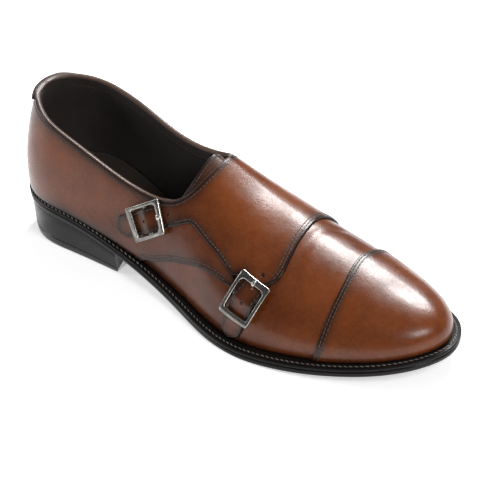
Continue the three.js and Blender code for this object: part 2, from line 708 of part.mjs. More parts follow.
// The prong's visible end: it comes out of the strap and lies over the frame's front bar.
function prong(fastening) {
  const top = BUCKLE.low + BUCKLE.thick + GAP;
  const strapTop = 3 * GAP + 2 * OVERLAY;
  const { half, thick, reach } = PRONG;
  const hole = STRAP.prongFoot;
  const profile = [
    [hole + half, strapTop], [hole + half, top + 0.4], [hole, top + thick], [-reach, top + thick],
    [-reach, top], [hole - half, top], [hole - half, strapTop],
  ];
  const shape = new THREE.Shape(profile.map(([s, h]) => new THREE.Vector2(s, h)));
  const geometry = new THREE.ExtrudeGeometry(shape, { depth: 2 * half, bevelEnabled: false });
  const place = geometry.attributes.position;
  for (let i = 0; i < place.count; i += 1) {
    const [u, q] = besideBuckle(fastening, place.getX(i), place.getZ(i) - half);
    place.setXYZ(i, ...skin(u, q, place.getY(i)).toArray());
  }
  return fromManifold(toManifold(outwardFrom(geometry)));
}

function outwardFrom(geometry) {
  const bare = geometry.clone();
  bare.deleteAttribute('normal');
  bare.deleteAttribute('uv');
  const merged = mergeVertices(bare, 1e-4);
  return outwardGeometry([...merged.attributes.position.array], [...merged.index.array]);
}

// ---- The shoe ------------------------------------------------------------------------------
const shoe = new THREE.Group();
shoe.position.x = -HEEL_REST_X;

function add(name, geometry, color, roughness, metalness = 0) {
  const mesh = new THREE.Mesh(geometry, new THREE.MeshStandardMaterial({ color, roughness, metalness }));
  mesh.name = name;
  shoe.add(mesh);
}

add('outsole', outsole(), COLOURS.edge, 0.4);
add('heel', heel(), COLOURS.edge, 0.4);
add('welt', welt(), COLOURS.edge, 0.5);
add('insole', insole(), COLOURS.lining, 0.7);
add('upper', upper(), COLOURS.leather, 0.35);
add('tongue', tongue(), COLOURS.leather, 0.45);
add('toe_cap', toeCap(), COLOURS.leather, 0.3);
add('quarter_outer', quarter(), COLOURS.leather, 0.35);
add('monk_flap', monkFlap(), COLOURS.leather, 0.35);
add('heel_tab', heelTab(), COLOURS.leather, 0.35);
for (const [name, fastening] of Object.entries(FASTENINGS)) {
  add(`buckle_${name}`, buckle(fastening), COLOURS.steel, 0.35, 1);
  add(`prong_${name}`, prong(fastening), COLOURS.steel, 0.35, 1);
}

export default shoe;
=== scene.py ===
import math

import bpy
import numpy as np
from mathutils import Matrix, Vector
from mathutils.geometry import delaunay_2d_cdt


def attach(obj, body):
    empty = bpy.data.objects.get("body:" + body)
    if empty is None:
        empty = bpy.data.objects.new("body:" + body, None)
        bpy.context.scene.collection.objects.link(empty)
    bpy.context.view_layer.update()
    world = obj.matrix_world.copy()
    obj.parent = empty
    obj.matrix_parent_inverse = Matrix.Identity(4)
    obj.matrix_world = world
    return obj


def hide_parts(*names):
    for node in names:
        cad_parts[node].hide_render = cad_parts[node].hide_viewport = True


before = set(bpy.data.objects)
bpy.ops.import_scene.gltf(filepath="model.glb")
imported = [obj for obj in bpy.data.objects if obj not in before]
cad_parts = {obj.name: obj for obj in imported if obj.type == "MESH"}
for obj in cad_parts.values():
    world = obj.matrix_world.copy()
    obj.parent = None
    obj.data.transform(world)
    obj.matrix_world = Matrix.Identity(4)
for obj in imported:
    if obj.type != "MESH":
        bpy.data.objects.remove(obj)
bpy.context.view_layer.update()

# ---- Sizes, in millimetres, as in the CAD part ----
HEEL_REST_X = 38
UPPER_WALL = 2.0
OVERLAY = 1.3
GAP = 0.3
TONGUE_GAP = 1.4
TONGUE_WALL = 2.0
WELT_THICK = 2.0
SOLE_TOTAL = 6.0
WELT_INSIDE = 5.0
INSOLE_RISE = 2.5
HEEL_TAPER = 1.6
BREAST_CENTRE_X, BREAST_RADIUS = 145, 70
THROAT_U = 0.51
COLLAR_END_POWER = 10
END_FAN = 6
BUCKLE_LENGTH, BUCKLE_WIDTH, BUCKLE_LOW, BUCKLE_THICK = 25.0, 21.0, 4.0, 1.8
END_BAR, SIDE_BAR = 3.4, 2.2
STRAP_HALF, STRAP_LIFT, STRAP_REACH = 7.2, 2.4, 4.5

TOE_INDEX = 15
OUTLINE = [
    (0, 0), (4.5, -20), (22, -33), (46, -35), (72, -35), (97, -36), (120, -39.5), (142, -45.5),
    (165, -53), (188, -57.5), (212, -56.5), (235, -51.5), (257, -43.5), (278, -32.5), (295, -16),
    (302, 4), (294, 24), (276, 37.5), (253, 45), (230, 48.5), (206, 49.5), (183, 47.5), (160, 42),
    (138, 34), (116, 28.5), (94, 27.5), (70, 30), (46, 33.5), (22, 32.5), (4.5, 20)]

LAST_COLUMNS = ["x", "ledge", "feather", "ridge_x", "ridge_y", "ridge_z",
                "swell_out", "rise_out", "shoulder_out", "swell_in", "rise_in", "shoulder_in"]
LAST_ROWS = [
    (0, 2.5, 31, 20, 0, 116, 5, 38, 0.55, 5, 38, 0.55),
    (28, 2.5, 30.3, 38, 0, 118, 6, 38, 0.52, 6, 38, 0.52),
    (60, 3.0, 26.6, 60, 0, 119, 7, 38, 0.46, 6, 40, 0.46),
    (93, 4.5, 18.6, 89, 2, 108, 8, 36, 0.40, 7, 40, 0.42),
    (133, 6.0, 9.8, 123, 4, 91.5, 7, 31, 0.42, 6, 38, 0.46),
    (179, 7.0, 5.8, 162, 6, 71.5, 5.5, 26, 0.50, 5, 32, 0.54),
    (222, 7.3, 7.6, 201, 7.5, 57, 4.5, 22, 0.54, 4.5, 26, 0.58),
    (263, 7.3, 12, 237, 8, 47.5, 4, 18, 0.58, 3.5, 20, 0.60),
    (288, 7.0, 16, 261, 8, 41, 3.5, 16, 0.61, 3, 16, 0.61),
    (302, 6.5, 18.2, 270, 8, 38.5, 3.5, 15, 0.62, 3, 15, 0.62)]

COLLAR_ROWS = [(0, 0.45, 0.45), (0.06, 0.47, 0.46), (0.12, 0.52, 0.49), (0.2, 0.58, 0.53),
               (0.3, 0.61, 0.53), (0.4, 0.575, 0.48), (0.51, 0.49, 0.38)]

# Pattern lines, as (u, q): u from the back seam to the toe, q from the outer feather line (-1)
# over the ridge (0) to the inner feather line (1).
BACK_SEAM = 0.004
FEATHER_Q = 0.992
QUARTER_FOOT_U = 0.352
QUARTER_LOWER = [(0.352, -0.992), (0.368, -0.945), (0.39, -0.9), (0.428, -0.817), (0.467, -0.749),
                 (0.501, -0.696), (0.54, -0.655), (0.575, -0.64), (0.603, -0.634)]
QUARTER_UNDER = [(0.61, -0.6), (0.59, -0.52), (0.545, -0.45), (0.5, -0.42), (0.463, -0.41)]
INNER_LOWER = [(0.352, 0.992), (0.36, 0.95), (0.39, 0.885), (0.44, 0.825), (0.5, 0.79), (0.56, 0.78),
               (0.61, 0.768), (0.634, 0.752), (0.648, 0.70), (0.66, 0.6)]
FLAP_FRONT = [(0.66, 0.6), (0.676, 0.42), (0.689, 0.25), (0.699, 0.08), (0.705, -0.08), (0.704, -0.25),
              (0.697, -0.4), (0.683, -0.49), (0.672, -0.527)]
BETWEEN_STRAPS = [(0.603, -0.564), (0.586, -0.545), (0.568, -0.525), (0.543, -0.512), (0.519, -0.502),
                  (0.504, -0.497), (0.491, -0.5), (0.477, -0.525), (0.457, -0.572), (0.44, -0.61)]
CAP_SEAM = [(-1, 0.752), (-0.63, 0.784), (-0.3, 0.813), (0, 0.817), (0.3, 0.802), (0.63, 0.766),
            (1, 0.733)]
FLAP_START_U = 0.408
FASTENINGS = {"front": dict(u=0.634, q=-0.657, turn=-31, root=-11, tip=29),
              "rear": dict(u=0.385, q=-0.68, turn=-65, root=-11, tip=26)}
TONGUE = dict(back=0.482, droop=0.19, front=0.66, outer=-0.46, inner=0.4)
HEEL_TAB = dict(half=0.062, depth=0.085, scallop=0.055)
FLAT = np.array([340.0, 95.0])     # mm on the flat pattern for one u and one q
SIGN = (-1, 1)                     # of q, on the outer and on the inner side
STEP = 0.8                         # mm between the points of a panel's outline
SINK = 0.1                         # mm that a wall runs into what it stands on
NEAR_THROAT = 0.9                  # share of the collar after which its points crowd together


# ---- The last's surface ----
def natural(xs, ys):
    """A natural cubic spline through the points, straight past its ends."""
    xs, ys = np.asarray(xs, float), np.asarray(ys, float)
    n, h = len(xs), np.diff(xs)
    system, pull = np.eye(n), np.zeros(n)
    for i in range(1, n - 1):
        system[i, i - 1:i + 2] = h[i - 1], 2 * (h[i - 1] + h[i]), h[i]
        pull[i] = 6 * ((ys[i + 1] - ys[i]) / h[i] - (ys[i] - ys[i - 1]) / h[i - 1])
    bend = np.linalg.solve(system, pull)

    def at(x):
        x = np.asarray(x, float)
        i = np.clip(np.searchsorted(xs, x) - 1, 0, n - 2)
        a, b, w = xs[i + 1] - x, x - xs[i], h[i]
        return ((bend[i] * a ** 3 + bend[i + 1] * b ** 3) / (6 * w)
                + (ys[i] / w - bend[i] * w / 6) * a + (ys[i + 1] / w - bend[i + 1] * w / 6) * b)
    return at


def smoothstep(x, low, high):
    t = np.clip((np.asarray(x, float) - low) / (high - low), 0, 1)
    return t * t * (3 - 2 * t)


def walk_along(points):
    """How far along a line each of its points is."""
    return np.r_[0, np.cumsum(np.linalg.norm(np.diff(points, axis=0), axis=1))]


def unit(ways):
    return ways / np.linalg.norm(ways, axis=-1, keepdims=True)


def in_frame(points):
    """From the shoe's own millimetres to row-frame metres."""
    return (points - [HEEL_REST_X, 0, 0]) / 1000


LAST = {name: natural([r[0] for r in LAST_ROWS], [r[k] for r in LAST_ROWS])
        for k, name in enumerate(LAST_COLUMNS) if k}
RIDGE_HEIGHT = natural([r[3] for r in LAST_ROWS], [r[5] for r in LAST_ROWS])
COLLAR = [natural([r[0] for r in COLLAR_ROWS], [r[k] for r in COLLAR_ROWS]) for k in (1, 2)]
CAP_U = natural([r[0] for r in CAP_SEAM], [r[1] for r in CAP_SEAM])


def outline_sides():
    """For each side, shares of its length, and there the outline's point and outward normal."""
    wrap, rows = 6, OUTLINE
    loop = np.array(rows[-wrap:] + rows + rows[:wrap + 1], float)
    chord = walk_along(loop)
    fx, fy = natural(chord, loop[:, 0]), natural(chord, loop[:, 1])
    toe = chord[wrap + TOE_INDEX]
    sides = []
    for start in (chord[wrap], chord[wrap + len(rows)]):
        s = np.linspace(start, toe, 4001)
        p = np.stack([fx(s), fy(s)], 1)
        walked = walk_along(p)
        ahead = unit(np.gradient(p, axis=0))
        normal = np.stack([ahead[:, 1], -ahead[:, 0]], 1) * np.sign(toe - start)
        sides.append((walked / walked[-1], np.hstack([p, normal])))
    return sides


SIDES = outline_sides()


def tread(u, side):
    """Outline points and outward normals: x, y, nx, ny. side is 0 for the outer, 1 for the inner."""
    share, rows = SIDES[side]
    return np.stack([np.interp(u, share, rows[:, k]) for k in range(4)], -1)


def last_point(u, q):
    """Points on the last, in mm. Past the back seam and the toe it carries on around the shoe."""
    u, q = np.broadcast_arrays(np.asarray(u, float), np.asarray(q, float))
    beyond = (u < 0) | (u > 1)
    q = np.where(beyond, -q, q)
    u = np.where(u < 0, -u, np.where(u > 1, 2 - u, u))
    outer, inner = tread(u, 0), tread(u, 1)
    is_outer = q < 0
    here = np.where(is_outer[..., None], outer, inner)
    x, y, nx, ny = np.moveaxis(here, -1, 0)

    def pick(name):
        return np.where(is_outer, LAST[name + "_out"](x), LAST[name + "_in"](x))

    middle = (outer[..., 0] + inner[..., 0]) / 2
    ledge, swell, reach = LAST["ledge"](x), pick("swell"), pick("shoulder")
    foot = np.stack([x - nx * ledge, y - ny * ledge, LAST["feather"](x)], -1)
    ridge_x = LAST["ridge_x"](middle)
    ridge = np.stack([ridge_x, LAST["ridge_y"](middle), RIDGE_HEIGHT(ridge_x)], -1)
    slope = (RIDGE_HEIGHT(ridge_x + 1) - RIDGE_HEIGHT(ridge_x - 1)) / 2
    belly = foot + np.stack([nx * swell, ny * swell, pick("rise")], -1)
    dx = (foot[..., 0] - ridge_x) * reach * (1 - (4 * u * (1 - u)) ** 2) ** END_FAN
    shoulder = ridge + np.stack([dx, (foot[..., 1] - ridge[..., 1]) * reach, slope * dx], -1)
    t = (1 - np.abs(q))[..., None]
    return ((1 - t) ** 3 * foot + 3 * (1 - t) ** 2 * t * belly
            + 3 * (1 - t) * t * t * shoulder + t ** 3 * ridge)


def steps_at(u, q):
    """The steps per u and per q, and the outward normal. By the toe's pole u is kept off 1."""
    h = 1e-3
    u, q = np.broadcast_arrays(np.asarray(u, float), np.asarray(q, float))
    near_pole = np.abs(q) < 0.02
    safe = np.where(near_pole & (np.abs(u - 1) < 2 * h), 1 - 2 * h, u)
    per_u = (last_point(safe + h, q) - last_point(safe - h, q)) / (2 * h)
    high, low = np.minimum(q + h, 1), np.maximum(q - h, -1)
    per_q = (last_point(safe, high) - last_point(safe, low)) / (high - low)[..., None]
    return per_u, per_q, unit(np.cross(per_u, per_q))


def skin(u, q, height):
    """Row-frame points in metres, so many mm above the last."""
    return in_frame(last_point(u, q) + steps_at(u, q)[2] * np.asarray(height, float)[..., None])


def laid(line, height, more=0.0):
    """A pattern line's row-frame points, at a height that is a number or a function of u and q."""
    u, q = line[..., 0], line[..., 1]
    return skin(u, q, (height(u, q) if callable(height) else height) + more)


def in_pattern(u, q, ways):
    """The steps in (u, q) that go 1 mm along each 3-D way."""
    per_u, per_q, _ = steps_at(u, q)
    uu, uq, qq = (np.sum(a * b, -1) for a, b in ((per_u, per_u), (per_u, per_q), (per_q, per_q)))
    in_u, in_q = np.sum(per_u * ways, -1), np.sum(per_q * ways, -1)
    spread = uu * qq - uq * uq
    return np.stack([(qq * in_u - uq * in_q) / spread, (uu * in_q - uq * in_u) / spread], -1)


def sideways(line, distance):
    """A pattern line moved to its left over the surface, in mm."""
    line = np.asarray(line, float)
    ahead = unit(np.gradient(last_point(*line.T), axis=0))
    left = np.cross(steps_at(*line.T)[2], ahead)
    return line + in_pattern(*line.T, left) * distance


def collar(u, side):
    """How far the collar's edge is from the ridge line, in q."""
    u = np.abs(u)
    return COLLAR[side](u) * np.sqrt(np.maximum(0, 1 - (u / THROAT_U) ** COLLAR_END_POWER))


def at_walk(line, walk, spots):
    """The line's places at some distances along it."""
    return np.stack([np.interp(spots, walk, column) for column in line.T], 1)


def evenly(line, spacing):
    """The same pattern line with its points evenly apart over the surface, in mm."""
    line = np.asarray(line, float)
    walk = walk_along(last_point(*line.T))
    return at_walk(line, walk, np.linspace(0, walk[-1], max(3, int(round(walk[-1] / spacing)) + 1)))


def spline(points):
    """A smooth pattern line through a few points."""
    p = np.asarray(points, float) * FLAT
    chord = walk_along(p)
    s = np.linspace(0, chord[-1], max(3, int(chord[-1] / 0.3)))
    return evenly(np.stack([natural(chord, column)(s) for column in p.T], 1) / FLAT, STEP)


def collar_line(side, start_u, spacing=STEP):
    """The collar's edge from start_u to the throat."""
    closing = np.linspace(NEAR_THROAT, 0, 400)
    u = np.r_[np.linspace(0, 0.4, 300), THROAT_U * (1 - closing ** 2) ** (1 / COLLAR_END_POWER)]
    u = np.r_[start_u, np.unique(u[u > start_u])]
    return evenly(np.stack([u, SIGN[side] * collar(u, side)], 1), spacing)


def strap_steps(at):
    """The steps in (u, q) that go 1 mm along a strap and 1 mm across it."""
    u, q = np.array([at["u"]]), np.array([at["q"]])
    _, per_q, normal = steps_at(u, q)
    turn = Matrix.Rotation(math.radians(at["turn"]), 3, Vector(normal[0]))
    run = np.array(turn @ Vector(-unit(per_q[0])))
    return [in_pattern(u, q, way[None])[0] for way in (run, np.cross(normal[0], run))]


for fastening in FASTENINGS.values():
    fastening["steps"] = strap_steps(fastening)


def beside(at, s, b):
    """The pattern's place s mm along a strap and b mm across it, from the buckle's middle."""
    run, across = at["steps"]
    s, b = np.asarray(s, float)[..., None], np.asarray(b, float)[..., None]
    return np.array([at["u"], at["q"]]) + s * run + b * across


def buckle_coordinates(at, u, q):
    """How many mm along and across a strap a pattern's place is, the reverse of beside."""
    run, across = at["steps"]
    du, dq = u - at["u"], q - at["q"]
    spread = run[0] * across[1] - run[1] * across[0]
    return (du * across[1] - dq * across[0]) / spread, (run[0] * dq - run[1] * du) / spread


def flap_base(u, q):
    """Underside of the flap: on the vamp, over the outer quarter, and up over the centre bars."""
    lift = smoothstep(-q, 0, 0.3)
    beyond_quarter = smoothstep(u, 0.618, 0.68) * smoothstep(q, -0.56, -0.46)
    s, b = buckle_coordinates(FASTENINGS["front"], u, q)
    tip_down = smoothstep(s, 13, 20) * (np.abs(b) < 10) * (q < -0.7)
    height = GAP + lift * (OVERLAY + GAP) * (1 - beyond_quarter) * (1 - tip_down)
    for at in FASTENINGS.values():
        s, b = buckle_coordinates(at, u, q)
        near = (np.abs(b) < BUCKLE_WIDTH) & (np.abs(s) < BUCKLE_LENGTH)
        height = height + np.where(near, STRAP_LIFT * np.exp(-(s / STRAP_REACH) ** 2), 0)
    return height


# ---- Materials ----
class Nodes:
    """Short calls for building one material's nodes."""

    def __init__(self, name):
        self.material = bpy.data.materials.new(name)
        self.material.use_nodes = True
        self.tree = self.material.node_tree
        self.shader = self.tree.nodes["Principled BSDF"]
        self.place = self.add("ShaderNodeTexCoord", "Object")

    def feed(self, socket, value):
        """Gives a socket a number, a colour, a vector or another node's output."""
        if isinstance(value, bpy.types.NodeSocket):
            self.tree.links.new(value, socket)
        elif socket.type == "RGBA" and len(value) == 3:
            socket.default_value = (*value, 1)
        else:
            socket.default_value = value

    def add(self, kind, output, inputs=(), **settings):
        """One output of a new node, whose inputs are fed from (socket, value) pairs."""
        node = self.tree.nodes.new(kind)
        for key, value in settings.items():
            setattr(node, key, value)
        for socket, value in inputs:
            self.feed(node.inputs[socket], value)
        return node.outputs[output]

    def stretched(self, scale):
        return self.add("ShaderNodeMapping", "Vector", [("Vector", self.place), ("Scale", scale)])

    def noise(self, scale, detail=3.0, roughness=0.5, vector=None):
        return self.add("ShaderNodeTexNoise", "Fac", [("Vector", vector or self.place), ("Scale", scale),
                                                      ("Detail", detail), ("Roughness", roughness)])

    def cells(self, scale):
        return self.add("ShaderNodeTexVoronoi", "Distance", [("Vector", self.place), ("Scale", scale)])

    def attribute(self, name):
        return self.add("ShaderNodeAttribute", "Fac", attribute_name=name)

    def spread(self, value, low, high, out_low=0.0, out_high=1.0):
        inputs = [("Value", value), ("From Min", low), ("From Max", high), ("To Min", out_low), ("To Max", out_high)]
        return self.add("ShaderNodeMapRange", "Result", inputs)

    def math(self, operation, a, b):
        return self.add("ShaderNodeMath", 0, [(0, a), (1, b)], operation=operation)

    def mix(self, factor, a, b):
        return self.add("ShaderNodeMix", 2, [(0, factor), (6, a), (7, b)], data_type="RGBA")

    def bump(self, height, strength, distance, base=None):
        inputs = [("Height", height), ("Strength", strength), ("Distance", distance)]
        if base is not None:
            inputs.append(("Normal", base))
        return self.add("ShaderNodeBump", "Normal", inputs)

    def finish(self, color, roughness, normal, **values):
        inputs = [("Base Color", color), ("Roughness", roughness), ("Normal", normal)]
        for socket, value in inputs + list(values.items()):
            self.feed(self.shader.inputs[socket.replace("_", " ")], value)
        return self.material


def leather(name, warm, deep, burnt_and_shade, rough=0.3):
    n = Nodes(name)
    mottle = n.spread(n.noise(19, 4, 0.62), 0.34, 0.68)
    fine = n.spread(n.noise(420, 3, 0.6), 0.35, 0.65)
    tone = n.math("ADD", n.math("MULTIPLY", mottle, 0.72), n.math("MULTIPLY", fine, 0.28))
    body = n.mix(tone, warm, deep)
    uneven = n.math("MULTIPLY", n.math("SUBTRACT", mottle, 0.5), 0.12)
    # A point attribute darkens the leather towards the burnt colour: partly real edge burnish, partly painted shade
    # along the cut edges and low down by the welt, and painted shade in the strap holes and stitch channels.
    burnish_and_shade = n.math("ADD", n.attribute("burnish_and_shade"), uneven)
    color = n.mix(n.spread(burnish_and_shade, 0.02, 1.0), body, burnt_and_shade)
    pores = n.spread(n.cells(230), 0.04, 0.10, 1.0, 0.0)
    pored_areas = n.spread(n.noise(31, 2), 0.48, 0.60)
    color = n.mix(n.math("MULTIPLY", n.math("MULTIPLY", pores, pored_areas), 0.75), color, burnt_and_shade)
    fine_grain = n.math("MULTIPLY", n.noise(1500, 3, 0.6), 0.5)
    grain = n.math("ADD", fine_grain, n.math("MULTIPLY", n.cells(1100), 0.5))
    normal = n.bump(grain, 0.55, 0.00013)
    normal = n.bump(n.noise(60, 3, 0.5), 0.22, 0.0011, normal)
    roughness = n.spread(n.noise(90, 3, 0.6), 0.3, 0.7, rough - 0.05, rough + 0.09)
    return n.finish(color, roughness, normal, Coat_Weight=0.14, Coat_Roughness=0.14, Coat_IOR=1.45,
                    Specular_IOR_Level=0.30)


def dark_edge(name, color, lift, rough, coat):
    n = Nodes(name)
    streaks = n.noise(1.0, 4, 0.6, n.stretched((180, 180, 2600)))
    tone = n.spread(n.noise(55, 3, 0.6), 0.3, 0.7)
    shade = n.mix(n.math("MULTIPLY", tone, 0.6), color, lift)
    normal = n.bump(streaks, 0.25, 0.00018)
    roughness = n.spread(n.noise(120, 3), 0.3, 0.7, rough - 0.06, rough + 0.1)
    return n.finish(shade, roughness, normal, Coat_Weight=coat, Coat_Roughness=0.12, Specular_IOR_Level=0.14)


def soft_lining(name, color, lift, rough):
    n = Nodes(name)
    tone = n.spread(n.noise(38, 4, 0.6), 0.3, 0.7)
    nap = n.noise(1400, 3, 0.6)
    shade = n.mix(tone, color, lift)
    normal = n.bump(nap, 0.4, 0.00015)
    return n.finish(shade, rough, normal, Sheen_Weight=0.12)


def brushed(name, color, worn, rough):
    n = Nodes(name)
    streaks = n.noise(1.0, 4, 0.7, n.stretched((900, 5200, 900)))
    tone = n.spread(n.noise(210, 3, 0.6), 0.35, 0.65)
    shade = n.mix(n.math("MAXIMUM", n.attribute("burnish_and_shade"), n.math("MULTIPLY", tone, 0.35)), color, worn)
    roughness = n.spread(streaks, 0.3, 0.7, rough - 0.07, rough + 0.1)
    return n.finish(shade, roughness, n.bump(streaks, 0.3, 0.00006), Metallic=1.0)


def thread(name, color, lift, rough):
    n = Nodes(name)
    twist = n.noise(1.0, 2, 0.5, n.stretched((2600, 2600, 2600)))
    # The lighter colour, laid along the twist, is a painted glint on the strands.
    shade = n.mix(n.spread(twist, 0.35, 0.65), color, lift)
    return n.finish(shade, rough, n.bump(twist, 0.5, 0.0001))


LEATHER = leather("polished_leather",
                  (0.172, 0.041, 0.0072), (0.072, 0.0150, 0.0030), (0.006, 0.0022, 0.0013), 0.29)
TONGUE_LEATHER = leather("tongue_leather",
                         (0.085, 0.026, 0.010), (0.05, 0.015, 0.007), (0.010, 0.004, 0.003), 0.38)
RIM = leather("rim_leather", (0.085, 0.048, 0.034), (0.04, 0.022, 0.016), (0.02, 0.011, 0.009), 0.42)
# Darker leather for the stitch channels: painted shade of the grooves.
CHANNEL = leather("stitch_channel",
                  (0.07, 0.023, 0.010), (0.045, 0.015, 0.008), (0.022, 0.009, 0.006), 0.45)
LINING = soft_lining("lining_leather", (0.014, 0.010, 0.009), (0.034, 0.025, 0.022), 0.62)
SOCK = soft_lining("sock_leather", (0.020, 0.013, 0.010), (0.045, 0.030, 0.024), 0.55)
WELT_BLACK = dark_edge("welt_black", (0.006, 0.005, 0.005), (0.014, 0.011, 0.010), 0.42, 0.05)
EDGE_BLACK = dark_edge("edge_black", (0.006, 0.005, 0.005), (0.010, 0.008, 0.008), 0.24, 0.16)
STEEL = brushed("buckle_nickel", (0.115, 0.110, 0.102), (0.62, 0.60, 0.56), 0.24)
# Each thread's second colour is its painted glint; the welt thread's pale grey also stands partly for painted glint
# on a dark grey thread.
THREAD = thread("brown_thread", (0.022, 0.010, 0.007), (0.14, 0.068, 0.042), 0.5)
WELT_THREAD = thread("welt_thread", (0.10, 0.092, 0.082), (0.36, 0.335, 0.30), 0.5)


# ---- Mesh helpers ----
def add_object(name, data):
    obj = bpy.data.objects.new(name, data)
    bpy.context.scene.collection.objects.link(obj)
    return obj


def piece(name, points, faces, materials, replaces=(), burnish_and_shade=None, face_materials=None, sharp=None):
    mesh = bpy.data.meshes.new(name)
    mesh.from_pydata(np.asarray(points).tolist(), [], [list(map(int, f)) for f in faces])
    mesh.validate()
    mesh.polygons.foreach_set("use_smooth", np.ones(len(mesh.polygons), bool))
    for material in materials:
        mesh.materials.append(material)
    if face_materials is not None:
        mesh.polygons.foreach_set("material_index", np.asarray(face_materials, np.int32))
    # Per-point value that the materials read: real burnish and metal wear, and painted shade on the leather.
    values = np.zeros(len(mesh.vertices), np.float32) if burnish_and_shade is None else np.asarray(burnish_and_shade, np.float32)
    mesh.attributes.new("burnish_and_shade", "FLOAT", "POINT").data.foreach_set("value", values)
    if sharp is not None:
        mesh.set_sharp_from_angle(angle=math.radians(sharp))
    obj = add_object(name, mesh)
    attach(obj, "root")
    if replaces:
        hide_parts(*replaces)


def welded(points, faces, values):
    """Joins points that lie together, so that a sheet closes over its folds."""
    keys = np.round(points * 50000).astype(np.int64)
    _, first, index = np.unique(keys, axis=0, return_index=True, return_inverse=True)
    index = index.reshape(-1)
    out = []
    for face in faces:
        corners = list(dict.fromkeys(index[list(face)].tolist()))
        if len(corners) > 2:
            out.append(corners)
    return points[first], out, [v[first] for v in values]


def flipped(faces, turned=True):
    return [tuple(f[::-1]) if turned else f for f in faces]


def strip(start, count):
    """Quads between one row of points and the next."""
    return [(start + i, start + count + i, start + count + i + 1, start + i + 1) for i in range(count - 1)]


def end_face(start, count, turned):
    return flipped([tuple(range(start, start + count))], turned)


def grid_faces(rows, columns, closed_rows=False, closed_columns=False, start=0):
    """Quads over rows of points, each row as long as the others."""
    faces = []
    for i in range(rows - (0 if closed_rows else 1)):
        for j in range(columns - (0 if closed_columns else 1)):
            a, b = i * columns + j, ((i + 1) % rows) * columns + j
            c, d = ((i + 1) % rows) * columns + (j + 1) % columns, i * columns + (j + 1) % columns
            faces.append((start + a, start + b, start + c, start + d))
    return faces


def distance_to(points, line):
    """Rough distance in mm, on the flat pattern, from each point to a line's points."""
    points, line = points * FLAT, np.asarray(line) * FLAT
    parts = [points[i:i + 4000] for i in range(0, len(points), 4000)]
    return np.concatenate([np.sqrt(((part[:, None] - line) ** 2).sum(-1)).min(1) for part in parts])


def inside(points, loop):
    """Which flat points lie within a closed loop."""
    x, y = points[:, 0], points[:, 1]
    hit = np.zeros(len(points), bool)
    for (x0, y0), (x1, y1) in zip(loop, np.roll(loop, -1, axis=0)):
        if y0 == y1:
            continue
        crosses = ((y0 > y) != (y1 > y)) & (x < (x1 - x0) * (y - y0) / (y1 - y0) + x0)
        hit ^= crosses
    return hit


EDGE_RADIUS = 0.5
EDGE_RINGS = (0.0, 0.1, 0.25, 0.5, 1.1)
FAR_FROM_EDGE = 9.0


def edge_drop(distance):
    """How far a rounded edge falls, in mm, at a distance from the cut."""
    rest = np.clip(EDGE_RADIUS - distance, 0, EDGE_RADIUS)
    return EDGE_RADIUS - np.sqrt(EDGE_RADIUS ** 2 - rest ** 2)


def panel(name, outline, top, foot, replaces, material=LEATHER, spacing=1.7, extra=(), shade_spots=()):
    """A leather panel cut to an outline on the surface: rounded edges, walls and an underside."""
    outline = np.asarray(outline, float)
    x, y = (outline * FLAT).T
    if np.sum(x * np.roll(y, -1) - np.roll(x, -1) * y) < 0:
        outline = outline[::-1]
    count = len(outline)
    closed = np.vstack([outline[-3:], outline, outline[:3]])
    rings = [sideways(closed, d)[3:-3] for d in EDGE_RINGS]
    loop = outline * FLAT
    low, high = loop.min(0), loop.max(0)
    xs, ys = np.arange(low[0], high[0], spacing), np.arange(low[1], high[1], spacing * 0.866)
    inner = np.array([(x + (k % 2) * spacing / 2, y) for k, y in enumerate(ys) for x in xs])
    inner = inner[inside(inner, loop)]
    inner = inner[distance_to(inner / FLAT, outline) > EDGE_RINGS[-1] + 0.5 * spacing]
    places = np.vstack([*(ring * FLAT for ring in rings), inner, *(ring * FLAT for ring in extra)])
    depth = np.r_[np.repeat(EDGE_RINGS, count), np.full(len(places) - count * len(rings), FAR_FROM_EDGE)]
    edges = [(i, (i + 1) % count) for i in range(count)]
    found = delaunay_2d_cdt([Vector(p) for p in places], edges, [], 1, 1e-4)
    flat_points = np.array([tuple(v) for v in found[0]])
    source = [min(ids) if ids else -1 for ids in found[3]]
    depth = np.array([depth[i] if i >= 0 else 0.0 for i in source])
    uq = flat_points / FLAT
    faces = []
    for face in found[2]:
        a, b, c = (flat_points[i] for i in face[:3])
        turn = (b[0] - a[0]) * (c[1] - a[1]) - (b[1] - a[1]) * (c[0] - a[0])
        faces.append(tuple(face) if turn > 0 else tuple(reversed(face)))
    upper, under = laid(uq, top, -edge_drop(depth)), laid(uq, foot)
    n = len(uq)
    beneath = [tuple(n + i for i in reversed(face)) for face in faces]
    rim = {}
    for face in faces:
        for a, b in zip(face, (*face[1:], face[0])):
            rim[(a, b)] = (b, a) not in rim
            if (b, a) in rim:
                rim[(b, a)] = rim[(a, b)] = False
    walls = [(a, n + a, n + b, b) for (a, b), outer in rim.items() if outer]
    away = distance_to(uq, outline)
    # Darker within a few mm of the outline: partly real edge burnish, partly painted shade along the raised edges.
    burnish_and_shade = 0.95 * np.exp(-np.maximum(away - 1.0, 0) / 3.0)
    # Painted shade in the strap holes, which are only shallow dips in the flap.
    if len(shade_spots):
        burnish_and_shade = np.maximum(burnish_and_shade, np.exp(-(distance_to(uq, shade_spots) / 1.5) ** 2))
    piece(name, np.vstack([upper, under]), faces + beneath + walls, [material], [replaces],
          np.r_[burnish_and_shade, np.ones(n)])


